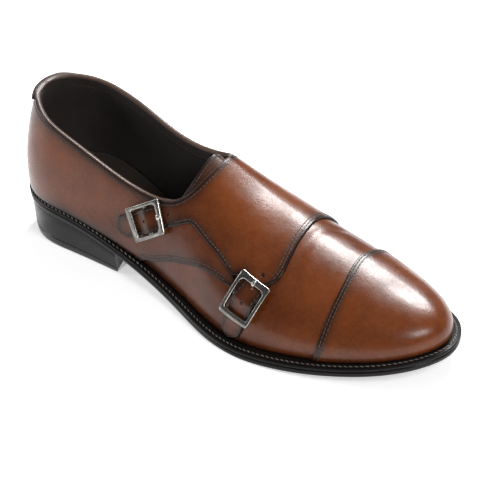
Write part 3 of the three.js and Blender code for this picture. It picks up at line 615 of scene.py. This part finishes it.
# ---- Stitches ----
class Stitching:
    """Gathers rows of stitches and the dark strips under them, painted shade of the channels they lie in."""

    rings = [(-0.5, 0.35), (-0.3, 0.9), (0.0, 1.0), (0.3, 0.9), (0.5, 0.35)]
    turns = np.linspace(0, 2 * math.pi, 6, endpoint=False)

    def __init__(self):
        self.points, self.faces = [], []
        self.channel_points, self.channel_faces = [], []

    def bead(self, centre, along, up, length, width, thick):
        """One stitch: a short rounded thread, sizes in mm."""
        side = np.cross(up, along)
        first, count = len(self.points), len(self.turns)
        for share, size in self.rings:
            for turn in self.turns:
                self.points.append(centre + (along * length * share
                                             + side * (width / 2 * size * math.cos(turn))
                                             + up * (thick / 2 * size * math.sin(turn))) / 1000)
        self.faces += flipped(grid_faces(len(self.rings), count, False, True, first))
        self.faces += end_face(first, count, True)
        self.faces += end_face(len(self.points) - count, count, False)

    def row(self, line, height, pitch=2.5, length=1.9, slant=8.0, channel=True):
        """Slanted stitches along a pattern line, and the channel under them."""
        line = evenly(line, 0.4)
        walk = walk_along(last_point(*line.T))
        total = walk[-1]
        spots = np.linspace(pitch / 2, total - pitch / 2, max(2, int(round(total / pitch))))
        uq = at_walk(line, walk, spots)
        centres = laid(uq, height, 0.05)
        dense = laid(line, height, 0.02)
        turn = math.radians(slant)
        for spot, centre, normal in zip(spots, centres, steps_at(*uq.T)[2]):
            i = int(np.clip(np.searchsorted(walk, spot), 1, len(dense) - 1))
            along = dense[i] - dense[i - 1]
            along = unit(along - normal * np.dot(along, normal))
            along = along * math.cos(turn) + np.cross(normal, along) * math.sin(turn)
            self.bead(centre, along, normal, length, 0.62, 0.42)
        if channel:
            self.channel_faces += strip(len(self.channel_points), len(line))
            for distance in (0.42, -0.42):
                self.channel_points.extend(laid(sideways(line, distance), height, 0.03))

    def make(self, name, material):
        piece(name, np.array(self.points), self.faces, [material])
        if self.channel_faces:
            # The channels are flat strips in a dark leather colour: painted shade of the grooves.
            piece(name + "_channels", np.array(self.channel_points), self.channel_faces, [CHANNEL],
                  burnish_and_shade=np.full(len(self.channel_points), 0.8))


# ---- Heights above the last, in mm ----
# Soft creases in the leather: where each starts and ends in (u, q), its width and its depth in mm.
CREASES = [
    ((0.715, -0.60), (0.735, 0.45), 3.6, -0.45),
    ((0.742, -0.75), (0.748, 0.10), 3.2, 0.30),
    ((0.60, 0.93), (0.67, 0.55), 3.4, -0.40),
    ((0.43, 0.93), (0.50, 0.62), 4.0, -0.45),
    ((0.30, 0.90), (0.36, 0.66), 5.0, -0.40),
    ((0.20, -0.86), (0.30, -0.70), 7.0, -0.50),
    ((0.10, -0.70), (0.20, -0.62), 8.0, -0.40),
    ((0.47, -0.93), (0.53, -0.74), 4.0, -0.30),
]
HOLES = [("front", -16.2), ("front", 1.8), ("rear", -16.2), ("rear", 1.8)]
HOLE_RADIUS = 1.05


def relief(u, q):
    """The creases' rise or fall, and the slow unevenness of lasted leather."""
    x, y = np.asarray(u) * FLAT[0], np.asarray(q) * FLAT[1]
    total = 0.05 * np.sin(x / 9.1 + 1.3) * np.sin(y / 11.3) + 0.02 * np.sin(x / 4.7 - y / 6.1)
    for start, end, width, depth in CREASES:
        a, b = np.array(start) * FLAT, np.array(end) * FLAT
        length = np.linalg.norm(b - a)
        way = (b - a) / length
        along = ((x - a[0]) * way[0] + (y - a[1]) * way[1]) / length
        bow = 2.0 * np.sin(math.pi * np.clip(along, 0, 1))
        across = (x - a[0]) * way[1] - (y - a[1]) * way[0] + bow
        fade = smoothstep(along, -0.05, 0.35) * smoothstep(-along, -1.05, -0.65)
        total = total + depth * np.exp(-(across / width) ** 2) * fade
    return total * smoothstep(u, 0.0, 0.06) * smoothstep(-np.asarray(u), -0.98, -0.84)


def holes(u, q):
    """How deep the strap holes are sunk."""
    drop = np.zeros(np.shape(u))
    for name, place in HOLES:
        s, b = buckle_coordinates(FASTENINGS[name], u, q)
        drop = drop + smoothstep(-np.hypot(s - place, b), -HOLE_RADIUS, -0.55)
    return drop


def overlay_top(u, q):
    return GAP + OVERLAY + relief(u, q)


def on_vamp(u, q):
    return relief(u, q) - SINK


def flap_top(u, q):
    return flap_base(u, q) + OVERLAY + relief(u, q) - holes(u, q)


def tab_top(u, q):
    return 2 * GAP + 2 * OVERLAY + np.zeros(np.shape(u))


def tongue_top(u, q):
    return -UPPER_WALL - TONGUE_GAP + relief(u, q)


def inward(line, distance, place):
    """The line moved over the surface by a distance in mm, towards a place."""
    ways = [sideways(line, distance), sideways(line, -distance)]
    return min(ways, key=lambda way: np.linalg.norm((way - place) * FLAT, axis=1).mean())


# ---- Upper ----
INSIDE = 2.0     # marks the lining's points until its faces have their material


def make_upper():
    """The vamp and its lining: an outer and an inner sheet, joined at the collar and at the feather."""
    points, faces, burnish_and_shade = [], [], []
    start = 0
    closing = np.linspace((1 - NEAR_THROAT ** COLLAR_END_POWER) ** 0.5, 0, 60)[1:]
    throat = THROAT_U * (1 - closing ** 2) ** (1 / COLLAR_END_POWER)
    u = np.r_[np.linspace(0, THROAT_U * NEAR_THROAT, 120), throat, np.linspace(THROAT_U, 1, 190)[1:]]
    share = np.linspace(0, 1, 44)[:, None]
    for side in (0, 1):
        edge, foot = SIGN[side] * collar(u, side), SIGN[side]
        uq = np.stack([np.tile(u, (len(share), 1)), edge + (foot - edge) * share], -1)
        for height, turned in ((0.0, side == 1), (-UPPER_WALL, side == 0)):
            points.append(laid(uq, relief, height).reshape(-1, 3))
            faces += flipped(grid_faces(*uq.shape[:2], start=start), turned)
            # Darker towards the feather line: partly real burnish, partly painted shade where the upper meets the
            # welt.
            low_down = 0.85 * np.exp(-(1 - np.abs(uq[..., 1])).reshape(-1) * FLAT[1] / 5.0)
            burnish_and_shade.append(low_down if height == 0 else np.full(len(low_down), INSIDE))
            start += len(low_down)
        for row, turned in ((0, side == 0), (-1, side == 1)):
            for height in (0.0, -UPPER_WALL):
                points.append(laid(uq[row], relief, height))
                burnish_and_shade.append(np.full(len(u), 0.9))
            wall = [f for i, f in enumerate(strip(start, len(u))) if row or u[i] < THROAT_U - 1e-9]
            faces += flipped(wall, turned)
            start += 2 * len(u)
    points, faces, (burnish_and_shade,) = welded(np.vstack(points), faces, [np.concatenate(burnish_and_shade)])
    lining = [all(burnish_and_shade[i] == INSIDE for i in face) for face in faces]
    burnish_and_shade = np.where(burnish_and_shade == INSIDE, 0, burnish_and_shade)
    piece("upper_shell", points, faces, [LEATHER, LINING], ["upper"], burnish_and_shade,
          np.array(lining, int))


make_upper()


CAP_LENGTH = 60


def make_cap():
    """The toe cap: rows from its seam to the toe, a wall under the seam and one at each side."""
    q = np.linspace(-FEATHER_Q, FEATHER_Q, 300)
    seam = np.stack([CAP_U(q), q], 1)
    near_seam = np.array([*EDGE_RINGS, 2.2, 3.6]) / CAP_LENGTH
    share = np.unique(np.r_[near_seam, np.linspace(near_seam[-1], 1, 70)])[:, None]
    uq = np.stack([seam[:, 0] + (1 - seam[:, 0]) * share, np.tile(q, (len(share), 1))], -1)
    away = share * (1 - seam[:, 0]) * FLAT[0]
    top = laid(uq, overlay_top, -edge_drop(away))
    # Darker by the seam and by the feather line: partly real burnish, partly painted shade along the seam and where
    # the upper meets the welt.
    by_seam = 0.95 * np.exp(-np.maximum(away - 2.6, 0) / 2.4)
    by_feather = 0.8 * np.exp(-(FEATHER_Q - np.abs(q)) * FLAT[1] / 4.0)
    start = uq[..., 0].size
    points = [top.reshape(-1, 3), laid(seam, -SINK)]
    faces = grid_faces(*uq.shape[:2])
    faces += [(i, i + 1, start + i + 1, start + i) for i in range(len(q) - 1)]
    start += len(q)
    for column in (0, -1):
        points += [top[:, column], laid(uq[:, column], -SINK)]
        faces += flipped(strip(start, len(share)), column)
        start += 2 * len(share)
    dark = np.maximum(by_seam, by_feather).reshape(-1)
    burnish_and_shade = np.r_[dark, np.ones(start - len(dark))]
    points, faces, (burnish_and_shade,) = welded(np.vstack(points), faces, [burnish_and_shade])
    piece("toe_cap_leather", points, faces, [LEATHER], ["toe_cap"], burnish_and_shade)
    return seam


CAP_LINE = make_cap()


def feather_line(side):
    u = np.linspace(BACK_SEAM, QUARTER_FOOT_U, int((QUARTER_FOOT_U - BACK_SEAM) * FLAT[0] / STEP))
    return np.stack([u, np.full(len(u), SIGN[side] * FEATHER_Q)], 1)


def back_seam_line(side):
    q = np.linspace(collar(BACK_SEAM, side), FEATHER_Q, 40)
    return evenly(np.stack([np.full(len(q), BACK_SEAM), SIGN[side] * q], 1), STEP)


def mirrored(at, edge):
    """Places along one edge of a strap, then back along the other."""
    return [beside(at, s, b) for s, b in (*edge, *((s, -b) for s, b in reversed(edge)))]


def strap_shape(at):
    """A strap's corners, from its root on one edge round its tip."""
    tip = at["tip"]
    return mirrored(at, ((at["root"], STRAP_HALF), (tip - 4.5, STRAP_HALF), (tip, 1.5)))


def quarter_outline():
    lower, under_flap, top = spline(QUARTER_LOWER), spline(QUARTER_UNDER), collar_line(0, BACK_SEAM)
    top = top[top[:, 0] < QUARTER_UNDER[-1][0]]
    return np.vstack([feather_line(0)[:-1], lower[:-1], under_flap, top[::-1], back_seam_line(0)[1:-1]])


def densely(points):
    """Straight runs between pattern points, with their corners kept."""
    runs = [evenly(np.array(pair), STEP)[:-1] for pair in zip(points[:-1], points[1:])]
    return np.vstack([*runs, points[-1]])


def rounded(points):
    """Straight runs with their corners rounded on the surface, from 0.9 mm beside each corner."""
    pts = [np.asarray(p, float) for p in points]
    out = [pts[0]]
    for a, b, c in zip(pts[:-2], pts[1:-1], pts[2:]):
        back, fore = (a - b) * FLAT, (c - b) * FLAT
        cut = min(0.9, 0.45 * np.linalg.norm(back), 0.45 * np.linalg.norm(fore))
        start, end = b + unit(back) * cut / FLAT, b + unit(fore) * cut / FLAT
        out += [(1 - t) ** 2 * start + 2 * (1 - t) * t * b + t * t * end for t in np.linspace(0, 1, 7)]
    return densely([*out, pts[-1]])


def flap_outline():
    lower, edge, between = spline(INNER_LOWER), spline(FLAP_FRONT), spline(BETWEEN_STRAPS)
    collar_start = np.array([FLAP_START_U, -float(collar(FLAP_START_U, 0))])
    front_strap = rounded([edge[-1], *strap_shape(FASTENINGS["front"]), between[0]])
    rear_strap = rounded([between[-1], *strap_shape(FASTENINGS["rear"]), collar_start])
    runs = [feather_line(1), lower, edge, front_strap, between, rear_strap, collar_line(0, FLAP_START_U)]
    return np.vstack([*(run[:-1] for run in runs), collar_line(1, BACK_SEAM)[::-1], back_seam_line(1)[1:-1]])


def hole_rings():
    turns = np.linspace(0, 2 * math.pi, 14, endpoint=False)
    rings = []
    for name, place in HOLES:
        for radius in (0.3, 0.55, 0.8, HOLE_RADIUS, 1.35):
            rings.append(beside(FASTENINGS[name], place + radius * np.cos(turns), radius * np.sin(turns)))
    return rings


def tab_lower_line():
    u = np.linspace(-HEEL_TAB["half"], HEEL_TAB["half"], 61)
    scallop = HEEL_TAB["scallop"] * np.cos(math.pi * u / HEEL_TAB["half"])
    return np.stack([u, -collar(u, 0) - HEEL_TAB["depth"] - scallop], 1)


def tab_outline():
    low = tab_lower_line()
    high = np.stack([low[:, 0], -collar(low[:, 0], 0)], 1)
    sides = [evenly(np.array(ends), STEP)[1:-1] for ends in ((low[-1], high[-1]), (high[0], low[0]))]
    return np.vstack([low, sides[0], high[::-1], sides[1]])


def tongue_back_line():
    q = np.linspace(TONGUE["outer"], TONGUE["inner"], 90)
    return np.stack([TONGUE["back"] - TONGUE["droop"] * q ** 2, q], 1)


def tongue_outline():
    back = tongue_back_line()
    front = densely(np.array([back[-1], (TONGUE["front"], TONGUE["inner"]),
                              (TONGUE["front"], TONGUE["outer"]), back[0]]))
    return np.vstack([back, front[1:-1]])


# Centres of the strap holes, where the flap gets painted shade.
hole_centres = np.array([beside(FASTENINGS[name], place, 0.0) for name, place in HOLES])
panel("quarter_leather", quarter_outline(), overlay_top, on_vamp, "quarter_outer")
panel("monk_flap_leather", flap_outline(), flap_top, on_vamp, "monk_flap", extra=hole_rings(),
      shade_spots=hole_centres)
panel("heel_tab_leather", tab_outline(), tab_top, lambda u, q: GAP + OVERLAY - SINK, "heel_tab", spacing=1.2)
panel("tongue_leather", tongue_outline(), tongue_top, lambda u, q: tongue_top(u, q) - TONGUE_WALL, "tongue",
      material=TONGUE_LEATHER)


# ---- Collar rim ----
RIM_SIDES, RIM_HALF = 14, 0.85


def make_rim():
    """A folded binding over the collar's edge, as thick as the layers that it covers."""
    outer, inner = collar_line(0, 0.0, 1.1), collar_line(1, 0.0, 1.1)
    line = np.vstack([outer, inner[::-1][1:-1]])
    u, q = line.T
    covered = np.where((q < 0) & (u < FLAP_START_U - 0.004), overlay_top(u, q), flap_top(u, q))
    covered = np.where(u < HEEL_TAB["half"], tab_top(u, q), covered)
    around = np.r_[covered[-4:], covered, covered[:4]]
    covered = np.convolve(around, np.ones(9) / 9, "valid") - 0.15
    low = -UPPER_WALL - SINK
    centres = skin(u, q, (covered + low) / 2)
    ahead = unit(np.roll(centres, -1, 0) - np.roll(centres, 1, 0))
    normal = steps_at(u, q)[2]
    normal = unit(normal - ahead * np.sum(normal * ahead, 1)[:, None])
    turns = np.linspace(0, 2 * math.pi, RIM_SIDES, endpoint=False)
    wide = (covered - low)[:, None] / 2 * np.cos(turns)
    thick = RIM_HALF * np.sin(turns)[:, None]
    bead = normal[:, None] * wide[..., None] + np.cross(ahead, normal)[:, None] * thick
    points = (centres[:, None] + bead / 1000).reshape(-1, 3)
    faces = grid_faces(len(centres), RIM_SIDES, True, True)
    piece("collar_rim", points, faces, [RIM], burnish_and_shade=np.full(len(points), 0.1))


make_rim()


# ---- Sole ----
feather, ledge = LAST["feather"], LAST["ledge"]
share_of_side = np.linspace(0, 1, 381)
TREAD = np.vstack([tread(share_of_side, 0), tread(share_of_side, 1)[::-1][1:-1]])


def sole_ring(inset, height):
    """A ring round the tread, set in by inset(x) and at height(x)."""
    x, y, nx, ny = TREAD.T
    cut = inset(x)
    return in_frame(np.stack([x - nx * cut, y - ny * cut, height(x)], 1))


def ladder(start, count, turned):
    """Faces across a closed ring, from one side to the other."""
    faces = [(start + i, start + i + 1, start + (count - i - 1) % count, start + (count - i) % count)
             for i in range(count // 2)]
    return flipped([tuple(dict.fromkeys(f)) for f in faces], turned)


def sole_piece(name, rings, material, replaces, closed=False):
    count = len(rings[0])
    faces = grid_faces(len(rings), count, closed, True)
    if not closed:
        faces += ladder(0, count, True) + ladder((len(rings) - 1) * count, count, False)
    piece(name, np.vstack(rings), faces, [material], [replaces], sharp=40)


def welt_top(x):
    return feather(x) - GAP


def welt_low(x):
    return welt_top(x) - WELT_THICK


def outsole_top(x):
    return welt_low(x) - GAP


def outsole_low(x):
    return np.maximum(0.0, feather(x) - SOLE_TOTAL)


def rounded_edge(top, low, bulge, inset, steps):
    """Rings down an edge that bulges in the middle."""
    rings = []
    for t in np.linspace(0, math.pi, steps):
        cut, share = inset + bulge * (1 - math.sin(t) ** 0.8), (1 - math.cos(t)) / 2
        rings.append(sole_ring(lambda x: cut, lambda x: top(x) + (low(x) - top(x)) * share))
    return rings


def make_welt():
    """The welt, closed round its inner edge, which the upper covers."""
    def inner_edge(x):
        return ledge(x) + WELT_INSIDE

    rings = [sole_ring(inner_edge, welt_top), sole_ring(lambda x: ledge(x) * 0.55, welt_top),
             *rounded_edge(welt_top, welt_low, 0.75, 0.0, 9), sole_ring(inner_edge, welt_low)]
    sole_piece("welt_strip", rings, WELT_BLACK, "welt", closed=True)


def make_sock():
    """The insole with its sock, rounded over at the top."""
    profile = ((5.6, INSOLE_RISE), (4.2, INSOLE_RISE - 0.05), (3.5, INSOLE_RISE - 0.35),
               (3.2, INSOLE_RISE - 1.0), (3.2, 0.4))
    rings = [sole_ring(lambda x: ledge(x) + inset, lambda x: feather(x) + height)
             for inset, height in profile]
    sole_piece("insole_sock", rings, SOCK, "insole")


def breast(y):
    return BREAST_CENTRE_X - np.sqrt(BREAST_RADIUS ** 2 - y ** 2)


HEEL_INSET = 2.6


def make_heel():
    """The stacked heel: rings round the back, closed by a curved breast, with its lifts' edges."""
    levels = [(0.0, 1.2), (0.03, 0.5), (0.07, 0.2), (0.20, 0.05), (0.235, 0.0), (0.25, 0.35), (0.265, 0.0),
              (0.45, 0.0), (0.7, 0.0), (0.9, 0.0), (0.97, 0.25), (1.0, 0.6)]
    rings = []
    for share, cut in levels:
        inset = HEEL_INSET - HEEL_TAPER * share + cut
        sides = []
        for side in (0, 1):
            x, y, nx, ny = tread(np.linspace(0, 0.32, 400), side).T
            x, y = x - nx * inset, y - ny * inset
            keep = np.linspace(0, np.argmax(x > breast(y)), 90).astype(int)
            sides.append(np.stack([x[keep], y[keep]], 1))
        y = np.linspace(sides[0][-1, 1], sides[1][-1, 1], 42)[1:-1]
        flat = np.vstack([sides[0], np.stack([breast(y), y], 1), sides[1][::-1][:-1]])
        rings.append(np.column_stack([flat, (outsole_low(flat[:, 0]) - GAP) * share]))
    count = len(rings[0])
    faces = flipped(grid_faces(len(rings), count, False, True))
    faces += ladder(0, count, False) + ladder((len(rings) - 1) * count, count, True)
    piece("heel_block", in_frame(np.vstack(rings)), faces, [EDGE_BLACK], ["heel"], sharp=40)


make_welt()
sole_piece("outsole_edge", rounded_edge(outsole_top, outsole_low, 1.0, 0.2, 11), EDGE_BLACK,
           "outsole")
make_sock()
make_heel()


# ---- Buckles ----
def rounded_rectangle(length, width, far_corner, root_corner, count=30):
    """Points round a rectangle, the same number on every corner. The root end is at -length / 2."""
    out = []
    for cx, cy, start in ((1, 1, 0), (-1, 1, 90), (-1, -1, 180), (1, -1, 270)):
        corner = far_corner if cx > 0 else root_corner
        for t in np.linspace(0, 90, count // 3):
            turn = math.radians(start + t)
            out.append((cx * (length / 2 - corner) + corner * math.cos(turn),
                        cy * (width / 2 - corner) + corner * math.sin(turn)))
    return np.array(out)


def filled(points, per_side=8):
    """Adds points along the long straight runs."""
    out = []
    for a, b in zip(points, np.roll(points, -1, axis=0)):
        steps = per_side if np.linalg.norm(b - a) > 3 else 1
        out += [a + (b - a) * k / steps for k in range(steps)]
    return np.array(out)


def bevelled_loop(width, low, high, bevel):
    """Places round a frame's bar: the share of the way from its outer to its inner loop, and the height."""
    outer_half = [(inset / width, high - drop) for inset, drop in
                  ((0.0, high - low), (0.0, bevel), (0.29 * bevel, 0.29 * bevel), (bevel, 0.0))]
    return outer_half + [(1 - share, height) for share, height in reversed(outer_half)]


BEVEL = 0.55
BAR_PROFILE = ((-1.1, 2.2), (-1.1, 3.3), (-0.7, 3.7), (0.7, 3.7), (1.1, 3.3), (1.1, 2.2))
BAR_STATIONS = 15


def make_buckle(name, at):
    """A bevelled frame, bright on its bevels, and the low centre bar that it swings on."""
    outer = filled(rounded_rectangle(BUCKLE_LENGTH, BUCKLE_WIDTH, 1.0, 1.2))
    inner = filled(rounded_rectangle(BUCKLE_LENGTH - 2 * END_BAR, BUCKLE_WIDTH - 2 * SIDE_BAR, 1.0, 3.0))
    high = BUCKLE_LOW + BUCKLE_THICK
    points, wear = [], []
    for share, height in bevelled_loop(np.linalg.norm(outer - inner, axis=1), BUCKLE_LOW, high, BEVEL):
        flat = outer + (inner - outer) * share[:, None]
        proud = 0.35 * smoothstep(flat[:, 0], 8, 10.5)
        points.append(laid(beside(at, *flat.T), height + proud))
        on_bevel = high - BEVEL - 0.05 < height < high - 0.05
        wear.append(np.full(len(outer), 0.9 if on_bevel else 0.12))
    start = len(points) * len(outer)
    faces = flipped(grid_faces(len(points), len(outer), True, True))
    reach = BUCKLE_WIDTH / 2 - 0.8
    bar = np.array([(s, b, height + (BUCKLE_LOW - 3.2) * smoothstep(abs(b), 7.4, 8.6))
                    for b in np.linspace(-reach, reach, BAR_STATIONS) for s, height in BAR_PROFILE])
    points.append(laid(beside(at, bar[:, 0], bar[:, 1]), bar[:, 2]))
    sides = len(BAR_PROFILE)
    faces += grid_faces(BAR_STATIONS, sides, False, True, start)
    faces += end_face(start, sides, True) + end_face(start + len(bar) - sides, sides, False)
    piece(f"buckle_{name}_steel", np.vstack(points), faces, [STEEL], [f"buckle_{name}"],
          np.r_[np.concatenate(wear), np.zeros(len(bar))], sharp=50)


def make_prong(name, at, half, tip, bluntness, stations=18, sides=14):
    """A prong seen end-on over the root bar: its curl, then its point going down into the strap."""
    s = np.linspace(-BUCKLE_LENGTH / 2 + 0.4, tip, stations)
    rise = BUCKLE_LOW + BUCKLE_THICK + 0.35 - 3.2 * smoothstep(s, tip - 2.6, tip + 0.4)
    size = np.sin(math.pi * np.clip(np.linspace(0, 1, stations), 0.03, 0.97)) ** bluntness
    turns = np.linspace(0, 2 * math.pi, sides, endpoint=False)
    rings = [laid(beside(at, np.full(sides, place), half * grow * np.cos(turns)),
                  height + 0.85 * grow * np.sin(turns)) for place, height, grow in zip(s, rise, size)]
    faces = flipped(grid_faces(stations, sides, False, True))
    faces += end_face(0, sides, False) + end_face((stations - 1) * sides, sides, True)
    piece(f"prong_{name}_steel", np.vstack(rings), faces, [STEEL], [f"prong_{name}"],
          np.full(stations * sides, 0.9))


for name, at in FASTENINGS.items():
    make_buckle(name, at)
make_prong("front", FASTENINGS["front"], 1.15, -6.9, 0.22)
make_prong("rear", FASTENINGS["rear"], 1.9, -7.4, 0.35)


# ---- Rows of stitches ----
def topline_top(u, q):
    """The topmost leather beside the outer collar: the quarter, and in front of it the flap."""
    return np.where(u < FLAP_START_U, overlay_top(u, q), flap_top(u, q))


def lining_top(u, q):
    return relief(u, q) - UPPER_WALL - SINK


def stitch_straps(rows):
    """A row inside each strap's edge, round its tip."""
    for at in FASTENINGS.values():
        tip = at["tip"]
        corners = mirrored(at, ((-13.5, 5.7), (tip - 5.2, 5.7), (tip - 1.6, 0.9)))
        rows.row(rounded(corners), flap_top, pitch=2.3)


def stitch_upper():
    rows = Stitching()
    for distance in (1.5, 3.3):
        rows.row(inward(CAP_LINE[6:-6], distance, (1.0, 0.0)), overlay_top)
        rows.row(inward(spline(QUARTER_LOWER)[4:-8], distance + 0.2, (0.2, -0.7)), overlay_top)
        rows.row(inward(spline(INNER_LOWER)[4:-2], distance + 0.2, (0.2, 0.5)), flap_top)
        rows.row(inward(spline(FLAP_FRONT)[:-6], distance + 0.4, (0.3, 0.0)), flap_top)
    rows.row(inward(spline(BETWEEN_STRAPS)[4:-4], 2.0, (0.5, 0.0)), flap_top)
    stitch_straps(rows)
    for side, top in enumerate((topline_top, flap_top)):
        line, below = collar_line(side, 0.066)[:-3], (0.3, SIGN[side] * 0.99)
        rows.row(inward(line, 2.6, below), top, pitch=2.3)
        rows.row(inward(line, 7.0, below), lining_top, pitch=2.6, channel=False)
    rows.row(inward(tab_lower_line()[2:-2], 1.5, (0, -0.4)), tab_top, pitch=2.1, length=1.6)
    bar_tack = np.array([(0.606, 0.742), (0.624, 0.715)])
    rows.row(bar_tack, flap_top, pitch=0.8, length=2.6, slant=80, channel=False)
    rows.row(inward(tongue_back_line()[6:-6], 2.2, (0.66, 0.0)), tongue_top)
    rows.make("brown_stitches", THREAD)


def stitch_welt():
    """Pale slanted stitches round the welt's ledge."""
    rows = Stitching()
    for side in (0, 1):
        u = np.linspace(0.0, 1.0, 2000)
        walk = walk_along(tread(u, side)[:, :2])
        foot_x, y, nx, ny = tread(np.interp(np.arange(1.6, walk[-1], 3.2), walk, u), side).T
        inset = ledge(foot_x) * 0.42
        x, y = foot_x - nx * inset, y - ny * inset
        centres = in_frame(np.stack([x, y, welt_top(foot_x) + 0.08], 1))
        slopes = (feather(x + 1) - feather(x - 1)) / 2
        for centre, slope, out_x, out_y in zip(centres, slopes, nx, ny):
            along = np.array([-out_y, out_x, 0.0]) * -SIGN[side]
            along[2] = slope * along[0]
            along = unit(along + 0.35 * np.array([out_x, out_y, 0.0]))
            up = unit(np.cross(along, np.cross([0, 0, 1.0], along)))
            rows.bead(centre, along, up, 2.5, 0.75, 0.5)
    rows.make("welt_stitches", WELT_THREAD)


stitch_upper()
stitch_welt()


# ---- Floor, camera and lights ----
def floor_material():
    n = Nodes("pale_floor")
    tone = n.noise(6, 3)
    shade = n.mix(tone, (0.86, 0.86, 0.87), (0.90, 0.90, 0.91))
    return n.finish(shade, 0.45, n.bump(n.noise(300, 2), 0.05, 0.0002),
                    Emission_Color=(1, 1, 1, 1), Emission_Strength=0.58)


floor_mesh = bpy.data.meshes.new("floor")
FLOOR = 4.0
floor_corners = [(-FLOOR, -FLOOR, 0), (FLOOR, -FLOOR, 0), (FLOOR, FLOOR, 0), (-FLOOR, FLOOR, 0)]
floor_mesh.from_pydata(floor_corners, [], [(0, 1, 2, 3)])
floor_mesh.materials.append(floor_material())
floor = add_object("floor", floor_mesh)

AZIMUTH, ELEVATION, ROLL = math.radians(37.9), math.radians(34.0), math.radians(-2.5)
CAMERA_DISTANCE = 1.5
level_reach = math.cos(ELEVATION)
back = Vector((math.sin(AZIMUTH) * level_reach, -math.cos(AZIMUTH) * level_reach, math.sin(ELEVATION)))
eye = Vector((0.1259, 0.052, 0.020)) + back * CAMERA_DISTANCE
aim = Vector((0.112, 0.004, 0.030))
forward = (aim - eye).normalized()
level = forward.cross(Vector((0, 0, 1))).normalized()
upright = level.cross(forward)
cam_x = level * math.cos(ROLL) + upright * math.sin(ROLL)
cam_y = upright * math.cos(ROLL) - level * math.sin(ROLL)
camera_data = bpy.data.cameras.new("camera")
camera_data.sensor_width = 36
camera_data.angle = math.radians(11.0)
camera = add_object("camera", camera_data)
turn = Matrix((cam_x, cam_y, -forward)).transposed().to_4x4()
camera.matrix_world = Matrix.Translation(eye) @ turn
bpy.context.scene.camera = camera


def area_light(name, place, target, size, power, gloss=1.0):
    data = bpy.data.lights.new(name, "AREA")
    data.specular_factor = gloss
    data.shape = "RECTANGLE"
    data.size, data.size_y = size
    data.energy = power
    light = add_object(name, data)
    light.location = place
    light.rotation_euler = (Vector(target) - Vector(place)).to_track_quat("-Z", "Y").to_euler()


area_light("soft_box_over", (-0.05, 0.80, 1.00), (0.12, 0, 0.04), (0.5, 0.32), 23, gloss=0.5)
area_light("soft_box_front", (1.1, -0.3, 0.9), (0.14, 0, 0.04), (0.4, 0.4), 8)
area_light("strip_left", (-1.0, -0.6, 0.6), (0.05, 0, 0.04), (0.3, 0.7), 4, gloss=0.25)
world = bpy.data.worlds.new("studio")
world.use_nodes = True
background = world.node_tree.nodes["Background"]
background.inputs["Color"].default_value = (1, 1, 1, 1)
background.inputs["Strength"].default_value = 0.2
bpy.context.scene.world = world
bpy.context.scene.view_settings.view_transform = "Standard"
